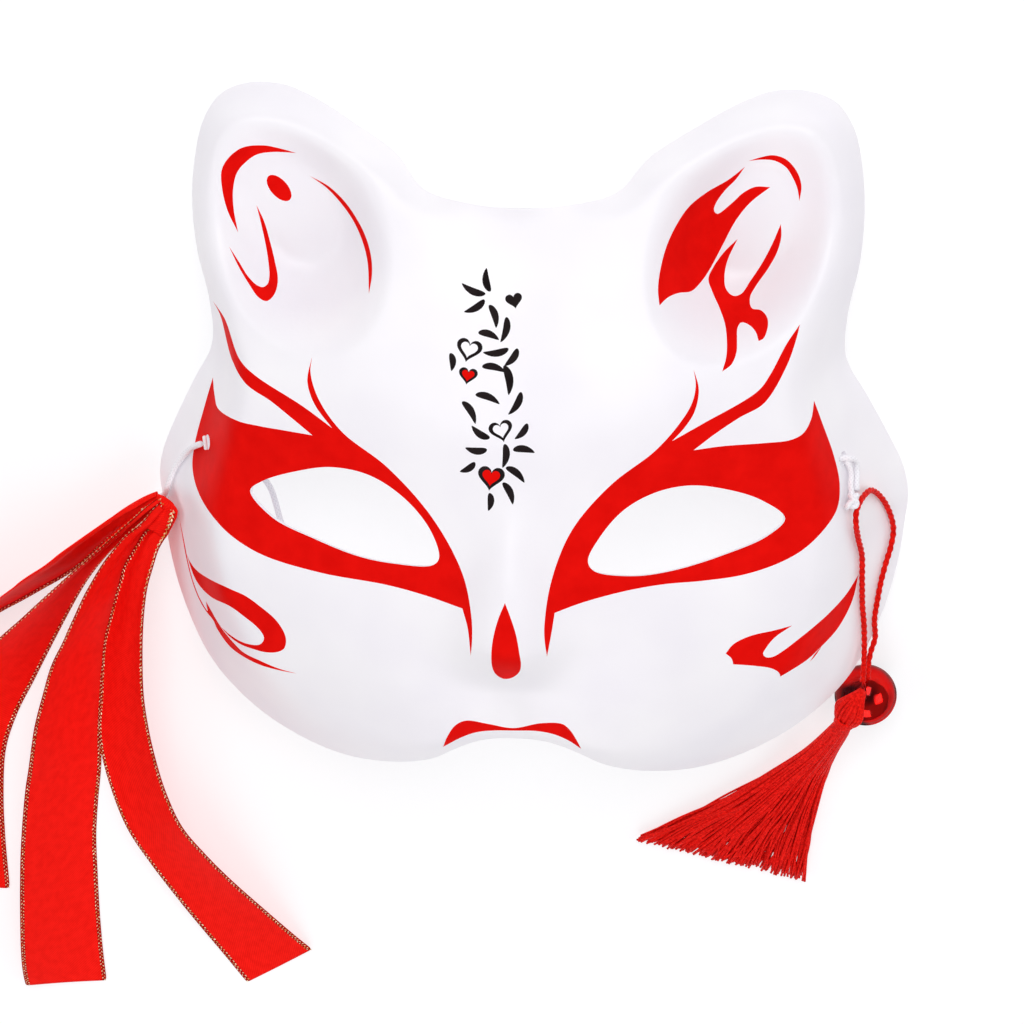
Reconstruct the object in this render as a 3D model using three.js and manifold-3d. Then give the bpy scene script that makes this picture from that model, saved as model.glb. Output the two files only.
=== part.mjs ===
import * as THREE from "three";
import { mergeVertices } from "three/addons/utils/BufferGeometryUtils.js";
import Module from "manifold-3d";

// A moulded half-face fox mask lying face up, with a bunch of ribbons on its elastic,
// and a jingle bell with a tassel on a red cord at the other temple.
// Lengths are in millimetres. The face is drawn in a frame of its own: x to the right,
// y to the ears and z out of the face, from the plane of the two temples.

const wasm = await Module();
wasm.setup();

// Driving sizes of the moulded shell
const WALL = 1.2;
const LEAN = THREE.MathUtils.degToRad(7.4); // the ears rest on the floor too
const HINGE_Y = -5.6; // height of the temples' corners in the face
const ORIGIN_Y = 15.1; // middle of the lying shell, from the same zero as y
const CROWN_Z = 55;
const CHEEK_CURVE = 270;
const CHIN_CURVE = 0.0036;
const BROW_Y = 18.3;
const BROW_RISE = 0.4;
const FOREHEAD_FALL = 0.47;
const EAR_Z = 28.5;
const CUP = { x: 53, y: 65.8, turn: THREE.MathUtils.degToRad(60), long: 27, wide: 19, floor: 22 };
const SOCKET = { x: 41, y: 1, wide: 27, high: 14, depth: 3.6 };
const CHEEK = { x: 31, y: -38, wide: 23, high: 17, depth: 3 };
const NOSE = { top: 14, tip: -26, foot: -42, rise: 10, bridge: 8, spread: 4 };
const HOLE = { x: 75.7, y: 9.6, radius: 1.6 };
const FLANGE_SHARE = 0.6;

// Right half of the shell's back edge, from the dip between the ears to the lip:
// x, y and z, the width of the side wall there, and how much of it is a flange
const EDGE_KEYS = [
  [0, 70.2, 33, 5, 0],
  [12, 71.0, 31.5, 5, 0],
  [22.2, 73.4, 28, 5.5, 0],
  [29.3, 80.5, 22, 6, 0],
  [40.5, 87.3, 18, 7, 0],
  [50, 92.2, 14.5, 7.5, 0],
  [58, 94.7, 12.6, 8, 0],
  [65.6, 94.6, 12.6, 8.5, 0],
  [71.6, 92.0, 12.4, 9, 0],
  [75.8, 86, 13, 9, 0],
  [78, 77, 14, 9, 0],
  [78.8, 67.2, 15, 9.5, 0],
  [78.2, 54.9, 14, 10.5, 0],
  [75.9, 42, 12.5, 12, 0.2],
  [76, 31.5, 11, 15, 0.5],
  [81.2, 21.7, 8, 19, 0.8],
  [86.7, 11.3, 4.2, 22, 1],
  [91.4, 1, 0.3, 24, 1],
  [92.6, -5.6, -0.4, 24, 1],
  [92.2, -11.4, -0.95, 24, 1],
  [90.6, -22.8, 2, 24, 1],
  [86.7, -36.5, 5, 24, 0.9],
  [79.1, -50.4, 10, 23, 0.7],
  [67.5, -60.2, 16, 21, 0.3],
  [54.3, -66.5, 21, 18, 0],
  [41.9, -69.3, 25, 15, 0],
  [29.2, -69.1, 28, 12, 0],
  [21.1, -66.6, 31, 10, 0],
  [16, -62.9, 34.5, 7, 0],
  [11.6, -59.7, 37.5, 5, 0],
  [6.5, -57.2, 40, 4, 0],
  [0, -56.4, 41, 4, 0],
];
const EAR_CORNER = 8; // key at the tip of the ear
const JAW_CORNER = 23; // key at the corner of the jaw
const EDGE_SAMPLES = 12; // points of the edge between two keys
const GRID_ACROSS = 36;
const GRID_ALONG = 30;
const GRID_CROWDING = 0.6; // how much closer the grid is at the edges

// Outlines of the two eye openings, seen from the front
const LEFT_EYE = [
  [-62.6, 2.9], [-59.6, 5.7], [-51, 9.4], [-41.8, 11.7], [-32.7, 10.7], [-24.4, 5.8],
  [-18.4, -1.2], [-16.4, -7.4], [-18, -9.3], [-26.9, -9.9], [-36, -9.2], [-46.5, -6.6],
  [-57.2, -2.8],
];
const RIGHT_EYE = [
  [62.5, -0.2], [57, 4.7], [49, 8], [40.6, 9.6], [33, 8.4], [25.8, 4.5], [20.3, -1.9],
  [17.8, -7.2], [19.2, -9.6], [27.5, -11.2], [36.5, -10.6], [48, -7.9], [58.6, -4],
];
const EYE_SEGMENTS = 40;

// Driving sizes of the soft pieces
const STRAP_RADIUS = 0.75;
const BAR = { length: 3.6, radius: 0.5 };
const STRAP_KNOT_RADIUS = 1.75;
const RIBBON_WIDTH = 22;
const RIBBON_THICK = 0.9;
const FLOOR_GAP = 0.3;
const CORD_RADIUS = 0.7;
const BELL = { x: 84.3, y: -57.5, radius: 7.5, wall: 0.6, slot: 1.3, holes: 1.5 };
const SHANK = { radius: 2.1, wire: 0.55 };

const { smoothstep, lerp, clamp } = THREE.MathUtils;

// The larger of two heights, with a rounded change from one to the other
function roundedMax(a, b, round) {
  return (a + b + Math.hypot(a - b, round)) / 2;
}

function bump(across, along) {
  return Math.exp(-across * across - along * along);
}

// Height of the face's front without its side walls
function frontHeight(x, y) {
  const side = Math.abs(x);
  const browLine = BROW_Y + BROW_RISE * (Math.hypot(x, 10) - 10);
  const aboveBrow = y - browLine;
  const low = Math.min(y, 0);
  let z = CROWN_Z - (x * x) / CHEEK_CURVE - CHIN_CURVE * low * low;
  z -= (FOREHEAD_FALL * (aboveBrow + Math.hypot(aboveBrow, 7))) / 2;
  z = roundedMax(z, EAR_Z - 45 * (1 - smoothstep(y, 8, 44)), 5);
  // Cup of the ear
  const dx = side - CUP.x;
  const dy = y - CUP.y;
  const along = (dx * Math.cos(CUP.turn) + dy * Math.sin(CUP.turn)) / CUP.long;
  const across = (dx * Math.sin(CUP.turn) - dy * Math.cos(CUP.turn)) / CUP.wide;
  const cup = 1 - smoothstep(Math.hypot(along, across), 0.42, 1.16);
  z = lerp(z, CUP.floor, cup);
  // Eye sockets and cheeks
  z -= SOCKET.depth * bump((side - SOCKET.x) / SOCKET.wide, (y - SOCKET.y) / SOCKET.high);
  z += CHEEK.depth * bump((side - CHEEK.x) / CHEEK.wide, (y - CHEEK.y) / CHEEK.high);
  // Nose and the groove of the lip
  const ridge = smoothstep(-y, -NOSE.top, -NOSE.tip) * (1 - smoothstep(-y, -NOSE.tip, -NOSE.foot));
  const width = NOSE.bridge + NOSE.spread * smoothstep(-y, 0, -NOSE.tip);
  z += NOSE.rise * ridge * bump(x / width, 0);
  z -= 1.2 * bump(x / 4.5, 0) * smoothstep(-y, 40, 50);
  return z;
}

// The whole back edge as points with the side wall's width and flange
function edgeLoop() {
  const mirrored = EDGE_KEYS.slice(1, -1).reverse();
  const keys = [...EDGE_KEYS, ...mirrored.map(([x, ...rest]) => [-x, ...rest])];
  const points = keys.map(([x, y, z]) => new THREE.Vector3(x, y, z));
  const curve = new THREE.CatmullRomCurve3(points, true, "centripetal");
  const count = keys.length * EDGE_SAMPLES;
  const loop = [];
  for (let i = 0; i < count; i++) {
    const key = Math.floor(i / EDGE_SAMPLES);
    const next = keys[(key + 1) % keys.length];
    const part = (i % EDGE_SAMPLES) / EDGE_SAMPLES;
    loop.push({
      point: curve.getPoint(i / count),
      wall: lerp(keys[key][3], next[3], part),
      flange: lerp(keys[key][4], next[4], part),
    });
  }
  return loop;
}
const EDGE = edgeLoop();

// Nearest place on the back edge, seen from the front
function nearestEdge(x, y) {
  let best = { distance: Infinity };
  for (let i = 0; i < EDGE.length; i++) {
    const a = EDGE[i];
    const b = EDGE[(i + 1) % EDGE.length];
    const dx = b.point.x - a.point.x;
    const dy = b.point.y - a.point.y;
    const reach = (x - a.point.x) * dx + (y - a.point.y) * dy;
    const part = clamp(reach / (dx * dx + dy * dy), 0, 1);
    const distance = Math.hypot(x - a.point.x - part * dx, y - a.point.y - part * dy);
    if (distance < best.distance) {
      best = {
        distance,
        point: a.point.clone().lerp(b.point, part),
        wall: lerp(a.wall, b.wall, part),
        flange: lerp(a.flange, b.flange, part),
      };
    }
  }
  return best;
}

// Height of the shell's outer face, with its side walls
function faceHeight(x, y) {
  const edge = nearestEdge(x, y);
  const drop = frontHeight(edge.point.x, edge.point.y) - edge.point.z;
  const outward = clamp(1 - edge.distance / edge.wall, 0, 1);
  const share = FLANGE_SHARE * edge.flange;
  const turned = share * smoothstep(outward, 0.1, 0.74) + (1 - share) * outward * outward;
  return frontHeight(x, y) - drop * turned;
}

// The lying mask leans back from the temples' corners onto its ears
const LYING = new THREE.Matrix4()
  .makeTranslation(0, HINGE_Y, 0)
  .multiply(new THREE.Matrix4().makeRotationX(-LEAN))
  .multiply(new THREE.Matrix4().makeTranslation(0, -HINGE_Y, 0));

function faceNormal(x, y) {
  const step = 0.3;
  const slopeX = (faceHeight(x + step, y) - faceHeight(x - step, y)) / (2 * step);
  const slopeY = (faceHeight(x, y + step) - faceHeight(x, y - step)) / (2 * step);
  return new THREE.Vector3(-slopeX, -slopeY, 1).normalize();
}

// A point of the lying mask's outer face, lifted off it
function onFace(x, y, lift) {
  const point = new THREE.Vector3(x, y, faceHeight(x, y));
  return point.addScaledVector(faceNormal(x, y), lift).applyMatrix4(LYING);
}

// Closed solids and cuts
function toSolid(geometry) {
  const bare = geometry.clone();
  bare.deleteAttribute("normal");
  bare.deleteAttribute("uv");
  const merged = mergeVertices(bare, 1e-4);
  const vertProperties = new Float32Array(merged.attributes.position.array);
  const triVerts = new Uint32Array(merged.index.array);
  return new wasm.Manifold(new wasm.Mesh({ numProp: 3, vertProperties, triVerts }));
}

function toGeometry(solid) {
  const mesh = solid.getMesh();
  const geometry = new THREE.BufferGeometry();
  geometry.setAttribute("position", new THREE.BufferAttribute(mesh.vertProperties, 3));
  geometry.setIndex(new THREE.BufferAttribute(mesh.triVerts, 1));
  return geometry;
}

function moved(geometry, position, turn = new THREE.Quaternion()) {
  return geometry.applyQuaternion(turn).translate(position.x, position.y, position.z);
}

// Points spread evenly over one stretch of the edge, closer at its ends
function stretchOfEdge(from, to, cells) {
  const stretch = [];
  const step = Math.sign(to - from);
  for (let i = from * EDGE_SAMPLES; i !== to * EDGE_SAMPLES + step; i += step) {
    stretch.push(EDGE[(i + EDGE.length) % EDGE.length].point);
  }
  const lengths = [0];
  for (let i = 1; i < stretch.length; i++) {
    lengths.push(lengths[i - 1] + stretch[i].distanceTo(stretch[i - 1]));
  }
  const points = [];
  let at = 0;
  for (let i = 0; i <= cells; i++) {
    const wanted = crowded(i / cells) * lengths.at(-1);
    while (at < lengths.length - 2 && lengths[at + 1] < wanted) {
      at += 1;
    }
    const part = clamp((wanted - lengths[at]) / (lengths[at + 1] - lengths[at]), 0, 1);
    points.push(stretch[at].clone().lerp(stretch[at + 1], part));
  }
  return points;
}

function crowded(part) {
  return lerp(part, (1 - Math.cos(Math.PI * part)) / 2, GRID_CROWDING);
}

// Grid of points over the face, blended between its four stretches of edge
function faceGrid() {
  const top = stretchOfEdge(-EAR_CORNER, EAR_CORNER, GRID_ACROSS);
  const right = stretchOfEdge(JAW_CORNER, EAR_CORNER, GRID_ALONG);
  const left = right.map((p) => new THREE.Vector3(-p.x, p.y, p.z));
  const keyCount = EDGE.length / EDGE_SAMPLES;
  const bottom = stretchOfEdge(keyCount - JAW_CORNER, JAW_CORNER, GRID_ACROSS);
  const rows = [];
  for (let j = 0; j <= GRID_ALONG; j++) {
    const v = crowded(j / GRID_ALONG);
    const row = [];
    for (let i = 0; i <= GRID_ACROSS; i++) {
      const u = crowded(i / GRID_ACROSS);
      const corners = bottom[0].clone().multiplyScalar((1 - u) * (1 - v));
      corners.addScaledVector(bottom[GRID_ACROSS], u * (1 - v));
      corners.addScaledVector(top[0], (1 - u) * v).addScaledVector(top[GRID_ACROSS], u * v);
      const point = bottom[i].clone().multiplyScalar(1 - v).addScaledVector(top[i], v);
      point.addScaledVector(left[j], 1 - u).addScaledVector(right[j], u).sub(corners);
      const onEdge = i === 0 || j === 0 || i === GRID_ACROSS || j === GRID_ALONG;
      point.z = onEdge ? point.z : faceHeight(point.x, point.y);
      row.push(point);
    }
    rows.push(row);
  }
  return rows;
}

// The moulded shell before its openings are cut: outer face, inner face and edge
function shellBlank() {
  const points = faceGrid().flat();
  const across = GRID_ACROSS + 1;
  const front = [];
  for (let j = 0; j < GRID_ALONG; j++) {
    for (let i = 0; i < GRID_ACROSS; i++) {
      const a = j * across + i;
      const corner = [a, a + 1, a + across + 1, a + across];
      front.push([corner[0], corner[1], corner[2]], [corner[0], corner[2], corner[3]]);
    }
  }
  const outer = new THREE.BufferGeometry().setFromPoints(points).setIndex(front.flat());
  outer.computeVertexNormals();
  const normals = outer.attributes.normal;
  const inner = points.map((point, i) => {
    const normal = new THREE.Vector3().fromBufferAttribute(normals, i);
    return point.clone().addScaledVector(normal, -WALL);
  });
  const count = points.length;
  const faces = [...front];
  for (const [a, b, c] of front) {
    faces.push([a + count, c + count, b + count]);
  }
  const rim = rimOrder(across);
  for (let i = 0; i < rim.length; i++) {
    const a = rim[i];
    const b = rim[(i + 1) % rim.length];
    faces.push([a, a + count, b + count], [a, b + count, b]);
  }
  return new THREE.BufferGeometry().setFromPoints([...points, ...inner]).setIndex(faces.flat());
}

// Places of the edge's points in the grid, once round it
function rimOrder(across) {
  const last = GRID_ALONG * across;
  const order = [];
  for (let i = 0; i < GRID_ACROSS; i++) {
    order.push(i);
  }
  for (let j = 0; j < GRID_ALONG; j++) {
    order.push(j * across + GRID_ACROSS);
  }
  for (let i = GRID_ACROSS; i > 0; i--) {
    order.push(last + i);
  }
  for (let j = GRID_ALONG; j > 0; j--) {
    order.push(j * across);
  }
  return order;
}

function eyeCutter(outline) {
  const points = outline.map(([x, y]) => new THREE.Vector3(x, y, 0));
  const curve = new THREE.CatmullRomCurve3(points, true, "centripetal");
  const flat = curve.getPoints(EYE_SEGMENTS).slice(0, -1);
  const shape = new THREE.Shape(flat.map((p) => new THREE.Vector2(p.x, p.y)));
  const cutter = new THREE.ExtrudeGeometry(shape, { depth: 60, bevelEnabled: false });
  return toSolid(cutter.translate(0, 0, 15).applyMatrix4(LYING));
}

function holeCutter(side) {
  const cutter = new THREE.CylinderGeometry(HOLE.radius, HOLE.radius, 8, 10);
  const out = faceNormal(side * HOLE.x, HOLE.y).transformDirection(LYING);
  const turn = new THREE.Quaternion().setFromUnitVectors(new THREE.Vector3(0, 1, 0), out);
  return toSolid(moved(cutter, onFace(side * HOLE.x, HOLE.y, 0), turn));
}

function maskShell() {
  const floor = new THREE.BoxGeometry(300, 300, 20).translate(0, 0, -10);
  const solid = toSolid(shellBlank().applyMatrix4(LYING))
    .subtract(eyeCutter(LEFT_EYE))
    .subtract(eyeCutter(RIGHT_EYE))
    .subtract(holeCutter(-1))
    .subtract(holeCutter(1))
    .subtract(toSolid(floor));
  return toGeometry(solid);
}

// A round tube along a smooth path through the given points
function tube(points, radius, steps) {
  const section = [];
  for (let i = 0; i < 8; i++) {
    const angle = (i / 8) * 2 * Math.PI;
    section.push(new THREE.Vector2(radius * Math.cos(angle), radius * Math.sin(angle)));
  }
  const extrudePath = new THREE.CatmullRomCurve3(points, false, "centripetal");
  return new THREE.ExtrudeGeometry(new THREE.Shape(section), { steps, extrudePath });
}

// A closed solid through rings of points, with flat ends
function throughRings(rings) {
  const count = rings[0].length;
  const faces = [];
  for (let r = 0; r + 1 < rings.length; r++) {
    for (let i = 0; i < count; i++) {
      const a = r * count + i;
      const b = r * count + ((i + 1) % count);
      const first = i < count / 2;
      faces.push(first ? [a, b, a + count] : [a, b, b + count]);
      faces.push(first ? [b, b + count, a + count] : [a, b + count, a + count]);
    }
  }
  const last = (rings.length - 1) * count;
  for (let i = 1; i + 1 < count; i++) {
    faces.push([0, i + 1, i], [last, last + i, last + i + 1]);
  }
  return new THREE.BufferGeometry().setFromPoints(rings.flat()).setIndex(faces.flat());
}

// Ring of points round a centre, in the plane of two directions
function ringAround(centre, sideways, upward, count) {
  const ring = [];
  for (let i = 0; i < count; i++) {
    const angle = (i / count) * 2 * Math.PI;
    const point = centre.clone().addScaledVector(sideways, Math.cos(angle));
    ring.push(point.addScaledVector(upward, Math.sin(angle)));
  }
  return ring;
}

function vector([x, y, z]) {
  return new THREE.Vector3(x, y, z);
}

// Elastic from the bar in the left hole, past the ribbons and under the rim, along the
// floor inside the mask and out through the right hole to its knot
const STRAP_PATH = [
  onFace(-76, 8.9, 1.6),
  onFace(-77.6, 7.6, 1.5),
  onFace(-79.9, 5.8, 1.4),
  onFace(-83.2, 2.3, 1.35),
  onFace(-86.3, -2.1, 1.3),
  onFace(-88, -6, 1.3),
  ...[
    [-91, -9.4, 4.2],
    [-93.9, -12, 2.1],
    [-94.8, -15.2, 1.3],
    [-93.8, -18.6, 1.2],
    [-90.8, -20.8, 1.2],
    [-86.4, -18.8, 1.2],
    [-80.5, -12.5, 1.2],
    [-75.5, -5.5, 1.2],
    [-70.4, -3.2, 1.2],
    [-65.6, -6.3, 1.2],
    [-62.4, -17.5, 1.2],
    [-59.5, -31, 1.2],
    [-50, -43.5, 1.2],
    [-34, -50.5, 1.2],
    [-12, -53, 1.2],
    [12, -52.5, 1.2],
    [34, -49, 1.2],
    [53, -41, 1.2],
    [67, -27, 1.2],
    [72.5, -10, 1.6],
    [73, 3, 8],
    [72, 9, 14.5],
  ].map(vector),
  onFace(HOLE.x, HOLE.y, -3),
  onFace(HOLE.x, HOLE.y, 1),
  onFace(77.4, 8, 1.7),
  onFace(78, 5.6, 1.4),
  onFace(77.7, 3.2, 1.7),
  onFace(77.4, 1.9, 2),
];
const STRAP_KNOT = onFace(76.8, 0.2, 1.9);

// Red cord from the bell's shank up to the knot and back
const CORD_PATH = [
  vector([84.3, -48.6, 15.6]),
  vector([84.3, -45.4, 14.4]),
  vector([84.8, -42.4, 13.2]),
  onFace(84.9, -40.4, 1.3),
  onFace(84.5, -35.1, 1.1),
  onFace(85, -29.8, 1.1),
  onFace(85.7, -25, 1.1),
  onFace(86.7, -20.8, 1.1),
  onFace(87.8, -17.1, 1.1),
  onFace(88.3, -13.2, 1.1),
  onFace(87.5, -9.1, 1.1),
  onFace(85.8, -5.1, 1.1),
  onFace(84.2, -2.9, 1.3),
  onFace(82.5, -1.1, 1.6),
  onFace(80.9, -0.1, 1.9),
  onFace(79.1, -0.5, 2),
  onFace(77.9, -1.9, 1.9),
  onFace(77.6, -3.4, 1.8),
  onFace(78, -5.8, 1.5),
  onFace(79, -10, 1.2),
  onFace(80.3, -15.5, 1.1),
  onFace(80.7, -22.3, 1.1),
  onFace(81.2, -29.5, 1.1),
  onFace(81.8, -35.3, 1.2),
  vector([83.1, -40.4, 15.9]),
  vector([83.1, -44.6, 16.8]),
  vector([83, -48.4, 17.6]),
];

// Bunch of folded ribbon on the elastic: centre, half width and half height
const RIBBON_BUNCH = [
  [[-89.2, -8.7, 8.2], [2.7, -1.4, 1.2], 1.6],
  [[-90, -10.8, 8], [3.2, -1.8, 1.4], 2.3],
  [[-91.8, -13.7, 7.6], [3.6, -2, 1.5], 2.8],
  [[-94.1, -16.4, 7.1], [4, -2.4, 1.6], 2.6],
];

// Ribbon tails: x, y and z of the right edge, width, and tilt of the cloth in degrees,
// which is negative where the right edge stands higher
const RIBBON_TAILS = {
  ribbon_tail_1: [
    [-100.6, -16.9, 5.7, 8, 53], [-103.3, -19.6, 4.5, 10, 56], [-108.8, -25.4, 2.5, 14.5, 60],
    [-114.1, -30.9, 1.2, 17.5, 62], [-118.7, -34.6, 0.6, 22, 66], [-124.3, -38.2, 0.3, 22, 68],
    [-130.9, -42.3, 0.3, 22, 70], [-137, -45.9, 0.3, 22, 70], [-148, -53.5, 0.3, 22, 52],
    [-157.5, -65.5, 0.3, 22, 28], [-163.3, -82, 0.3, 22, 8], [-165.2, -102, 0.3, 22, 0],
    [-165.5, -124, 0.3, 22, 0],
  ],
  ribbon_tail_2: [
    [-100.4, -19.6, 5.1, 5.6, 60], [-105, -24.8, 3.2, 8.5, 65], [-109, -29.7, 2, 13, 66],
    [-112.4, -34.3, 1.1, 16, 65], [-115.5, -39.2, 0.6, 19, 63], [-118.9, -45.2, 0.3, 22, 60],
    [-122.3, -51.4, 0.3, 22, 54], [-126, -58.3, 0.3, 22, 46], [-130.1, -66.1, 0.3, 22, 37],
    [-134.8, -74.9, 0.3, 22, 24], [-139, -86, 0.3, 22, 10], [-141, -100, 0.3, 22, 2],
    [-141.8, -114, 0.3, 22, 0], [-142, -130, 0.3, 22, 0],
  ],
  ribbon_tail_3: [
    [-97.9, -21.1, 4, 8.8, 56], [-100.9, -26.5, 2.4, 12.5, 62], [-103.3, -32.5, 1.3, 16.5, 65],
    [-105.4, -38.8, 0.7, 20, 67], [-107.7, -45.6, 0.4, 22, 66], [-109.4, -53, 0.3, 22, 62],
    [-110.8, -61.2, 0.3, 22, 58], [-112.1, -70.8, 0.3, 22, 52], [-113.2, -80.4, 0.3, 22, 48],
    [-113.9, -90.1, 0.3, 22, 42], [-115.6, -101.2, 0.3, 22, 41], [-116.9, -111.7, 0.3, 22, 40],
    [-117.4, -122.6, 0.3, 22, 36], [-117.8, -136.4, 0.3, 22, 30], [-117.8, -149, 0.4, 22, 20],
    [-117.5, -158.4, 0.6, 22, 8],
  ],
  ribbon_tail_4: [
    [-91.2, -20, 13.2, 7, -54], [-92.8, -24.7, 14.5, 10.5, -54], [-94.1, -29.2, 16, 13, -54],
    [-94.9, -34.4, 17.5, 15, -54], [-95.6, -41.4, 18.6, 16, -52], [-96.2, -49.8, 18.8, 17.2, -48],
    [-96.7, -59.1, 18, 18.6, -46], [-96.4, -68.7, 17, 20, -42], [-95.5, -78.4, 15.8, 21.4, -36],
    [-93.6, -89.3, 14.8, 22, -33], [-90, -99.3, 15, 22, -30], [-84.8, -107.6, 14.2, 22, -27],
    [-78.9, -116.5, 12.2, 22, -23], [-70.5, -129.3, 7.6, 22, -15], [-64.1, -139.4, 3.4, 22, -8],
    [-60.2, -145.2, 0.9, 22, -2],
  ],
};
const TAIL_STEPS = 30;

// Tassel threads from the neck to their ends: left and right edge, height and thickness
const TASSEL_KEYS = [
  [[77.1, -61.8], [80.5, -63.8], 13.9, 1.7],
  [[70.4, -73.2], [80.4, -74.6], 7.8, 2.6],
  [[61.5, -83], [77.6, -83.5], 4, 2.8],
  [[50.4, -92], [75.6, -93.5], 3.2, 2.5],
  [[38, -99.6], [73.8, -105], 2.6, 2.1],
  [[27.5, -105.8], [71.8, -116.2], 2.1, 1.7],
];

// A ribbon tail stands on edge or lies on the floor
function ribbonTail(keys) {
  const rightEdge = new THREE.CatmullRomCurve3(keys.map(([x, y, z]) => vector([x, y, z])));
  const shapes = new THREE.CatmullRomCurve3(keys.map((key) => vector([key[3], key[4], 0])));
  const rings = [];
  for (let i = 0; i <= TAIL_STEPS; i++) {
    const key = i / TAIL_STEPS;
    const way = rightEdge.getTangent(key);
    const width = Math.min(shapes.getPoint(key).x, RIBBON_WIDTH);
    const tilt = THREE.MathUtils.degToRad(shapes.getPoint(key).y);
    const flat = new THREE.Vector3(way.y, -way.x, 0).normalize();
    const raised = flat.clone().cross(way);
    const side = flat.clone().multiplyScalar(Math.cos(tilt)).addScaledVector(raised, Math.sin(tilt));
    const up = raised.clone().multiplyScalar(Math.cos(tilt)).addScaledVector(flat, -Math.sin(tilt));
    const sideways = side.multiplyScalar(width / 2);
    const upward = up.multiplyScalar(RIBBON_THICK / 2);
    const centre = rightEdge.getPoint(key).add(sideways);
    centre.z += upward.z;
    rings.push([
      centre.clone().add(sideways).add(upward),
      centre.clone().add(sideways).sub(upward),
      centre.clone().sub(sideways).sub(upward),
      centre.clone().sub(sideways).add(upward),
    ]);
  }
  return throughRings(rings);
}

function ribbonBunch() {
  const rings = RIBBON_BUNCH.map(([middle, wide, high]) =>
    ringAround(vector(middle), vector(wide), vector([0, 0, high]), 10),
  );
  return throughRings(rings);
}

// The bell's middle and the direction of its shank
const BELL_MIDDLE = vector([BELL.x, BELL.y, BELL.radius + FLOOR_GAP]);
const SHANK_WAY = vector([-0.08, 0.6, 0.8]).normalize();

function jingleBell() {
  const { radius, wall, slot, holes } = BELL;
  const outer = toSolid(new THREE.SphereGeometry(radius, 18, 12));
  const inner = toSolid(new THREE.SphereGeometry(radius - wall, 12, 8));
  const slotBox = new THREE.BoxGeometry(radius * 1.5, slot, radius).translate(0, 0, -radius);
  const ring = new THREE.TorusGeometry(SHANK.radius, SHANK.wire, 5, 12).rotateX(Math.PI / 2);
  let solid = outer.add(toSolid(ring.translate(0, 0, radius + 0.3)));
  solid = solid.subtract(inner).subtract(toSolid(slotBox));
  for (const side of [-1, 1]) {
    const drill = new THREE.CylinderGeometry(holes, holes, radius, 10).rotateX(Math.PI / 2);
    const at = vector([side * radius * 0.72, 0, -radius * 0.82]);
    solid = solid.subtract(toSolid(moved(drill, at)));
  }
  const turn = new THREE.Quaternion().setFromUnitVectors(new THREE.Vector3(0, 0, 1), SHANK_WAY);
  return moved(toGeometry(solid), BELL_MIDDLE, turn);
}

// Threads looped over the shank and drawn together at the neck, bent round the bell
function tasselHead() {
  const start = SHANK_WAY.clone();
  const end = vector([-0.536, -0.356, 0.765]).normalize();
  const reach = [11.5, 11, 10.3, 9.95, 9.85, 9.6];
  const widths = [1, 3.2, 4.3, 4.2, 3, 2];
  const thicknesses = [0.8, 1.6, 2, 2, 2, 1.8];
  const axis = start.clone().cross(end).normalize();
  const whole = start.angleTo(end);
  const rings = reach.map((far, i) => {
    const angle = lerp(0.16, 1, i / (reach.length - 1)) * whole;
    const out = start.clone().applyAxisAngle(axis, angle);
    const centre = BELL_MIDDLE.clone().addScaledVector(out, far);
    const wide = axis.clone().multiplyScalar(widths[i]);
    return ringAround(centre, wide, out.multiplyScalar(thicknesses[i]), 10);
  });
  return throughRings(rings);
}

function tasselSkirt() {
  const rings = TASSEL_KEYS.map(([left, right, high, thick]) => {
    const a = vector([...left, high]);
    const b = vector([...right, high]);
    const sideways = b.clone().sub(a).multiplyScalar(0.5);
    return ringAround(a.add(b).multiplyScalar(0.5), sideways, vector([0, 0, thick]), 12);
  });
  return throughRings(rings);
}

function strapBar() {
  const bar = new THREE.CylinderGeometry(BAR.radius, BAR.radius, BAR.length, 8);
  return moved(bar, onFace(-74.9, 9.8, 1.1));
}

// Materials
const plastic = new THREE.MeshStandardMaterial({ color: "#f1eff4", roughness: 0.55 });
const elastic = new THREE.MeshStandardMaterial({ color: "#f3f1f2", roughness: 0.85 });
const satin = new THREE.MeshStandardMaterial({ color: "#d9120f", roughness: 0.45 });
const thread = new THREE.MeshStandardMaterial({ color: "#df1410", roughness: 0.7 });
const lacquer = new THREE.MeshStandardMaterial({ color: "#b0060a", roughness: 0.18, metalness: 0.9 });

const group = new THREE.Group();
group.position.y = -ORIGIN_Y;

function add(name, geometry, material) {
  const mesh = new THREE.Mesh(geometry, material);
  mesh.name = name;
  group.add(mesh);
}

add("mask_shell", maskShell(), plastic);
add("strap_cord", tube(STRAP_PATH, STRAP_RADIUS, 66), elastic);
add("strap_bar", strapBar(), elastic);
add("strap_knot", moved(new THREE.SphereGeometry(STRAP_KNOT_RADIUS, 10, 6), STRAP_KNOT), elastic);
add("ribbon_bunch", ribbonBunch(), satin);
for (const [name, keys] of Object.entries(RIBBON_TAILS)) {
  add(name, ribbonTail(keys), satin);
}
add("tassel_cord", tube(CORD_PATH, CORD_RADIUS, 44), thread);
add("jingle_bell", jingleBell(), lacquer);
add("tassel_head", tasselHead(), thread);
add("tassel_skirt", tasselSkirt(), thread);

export default group;
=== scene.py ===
import math
import random

import bmesh
import bpy
import numpy as np
from bpy.props import FloatProperty, FloatVectorProperty, PointerProperty
from mathutils import Matrix, Vector, kdtree
from mathutils.geometry import delaunay_2d_cdt


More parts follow.
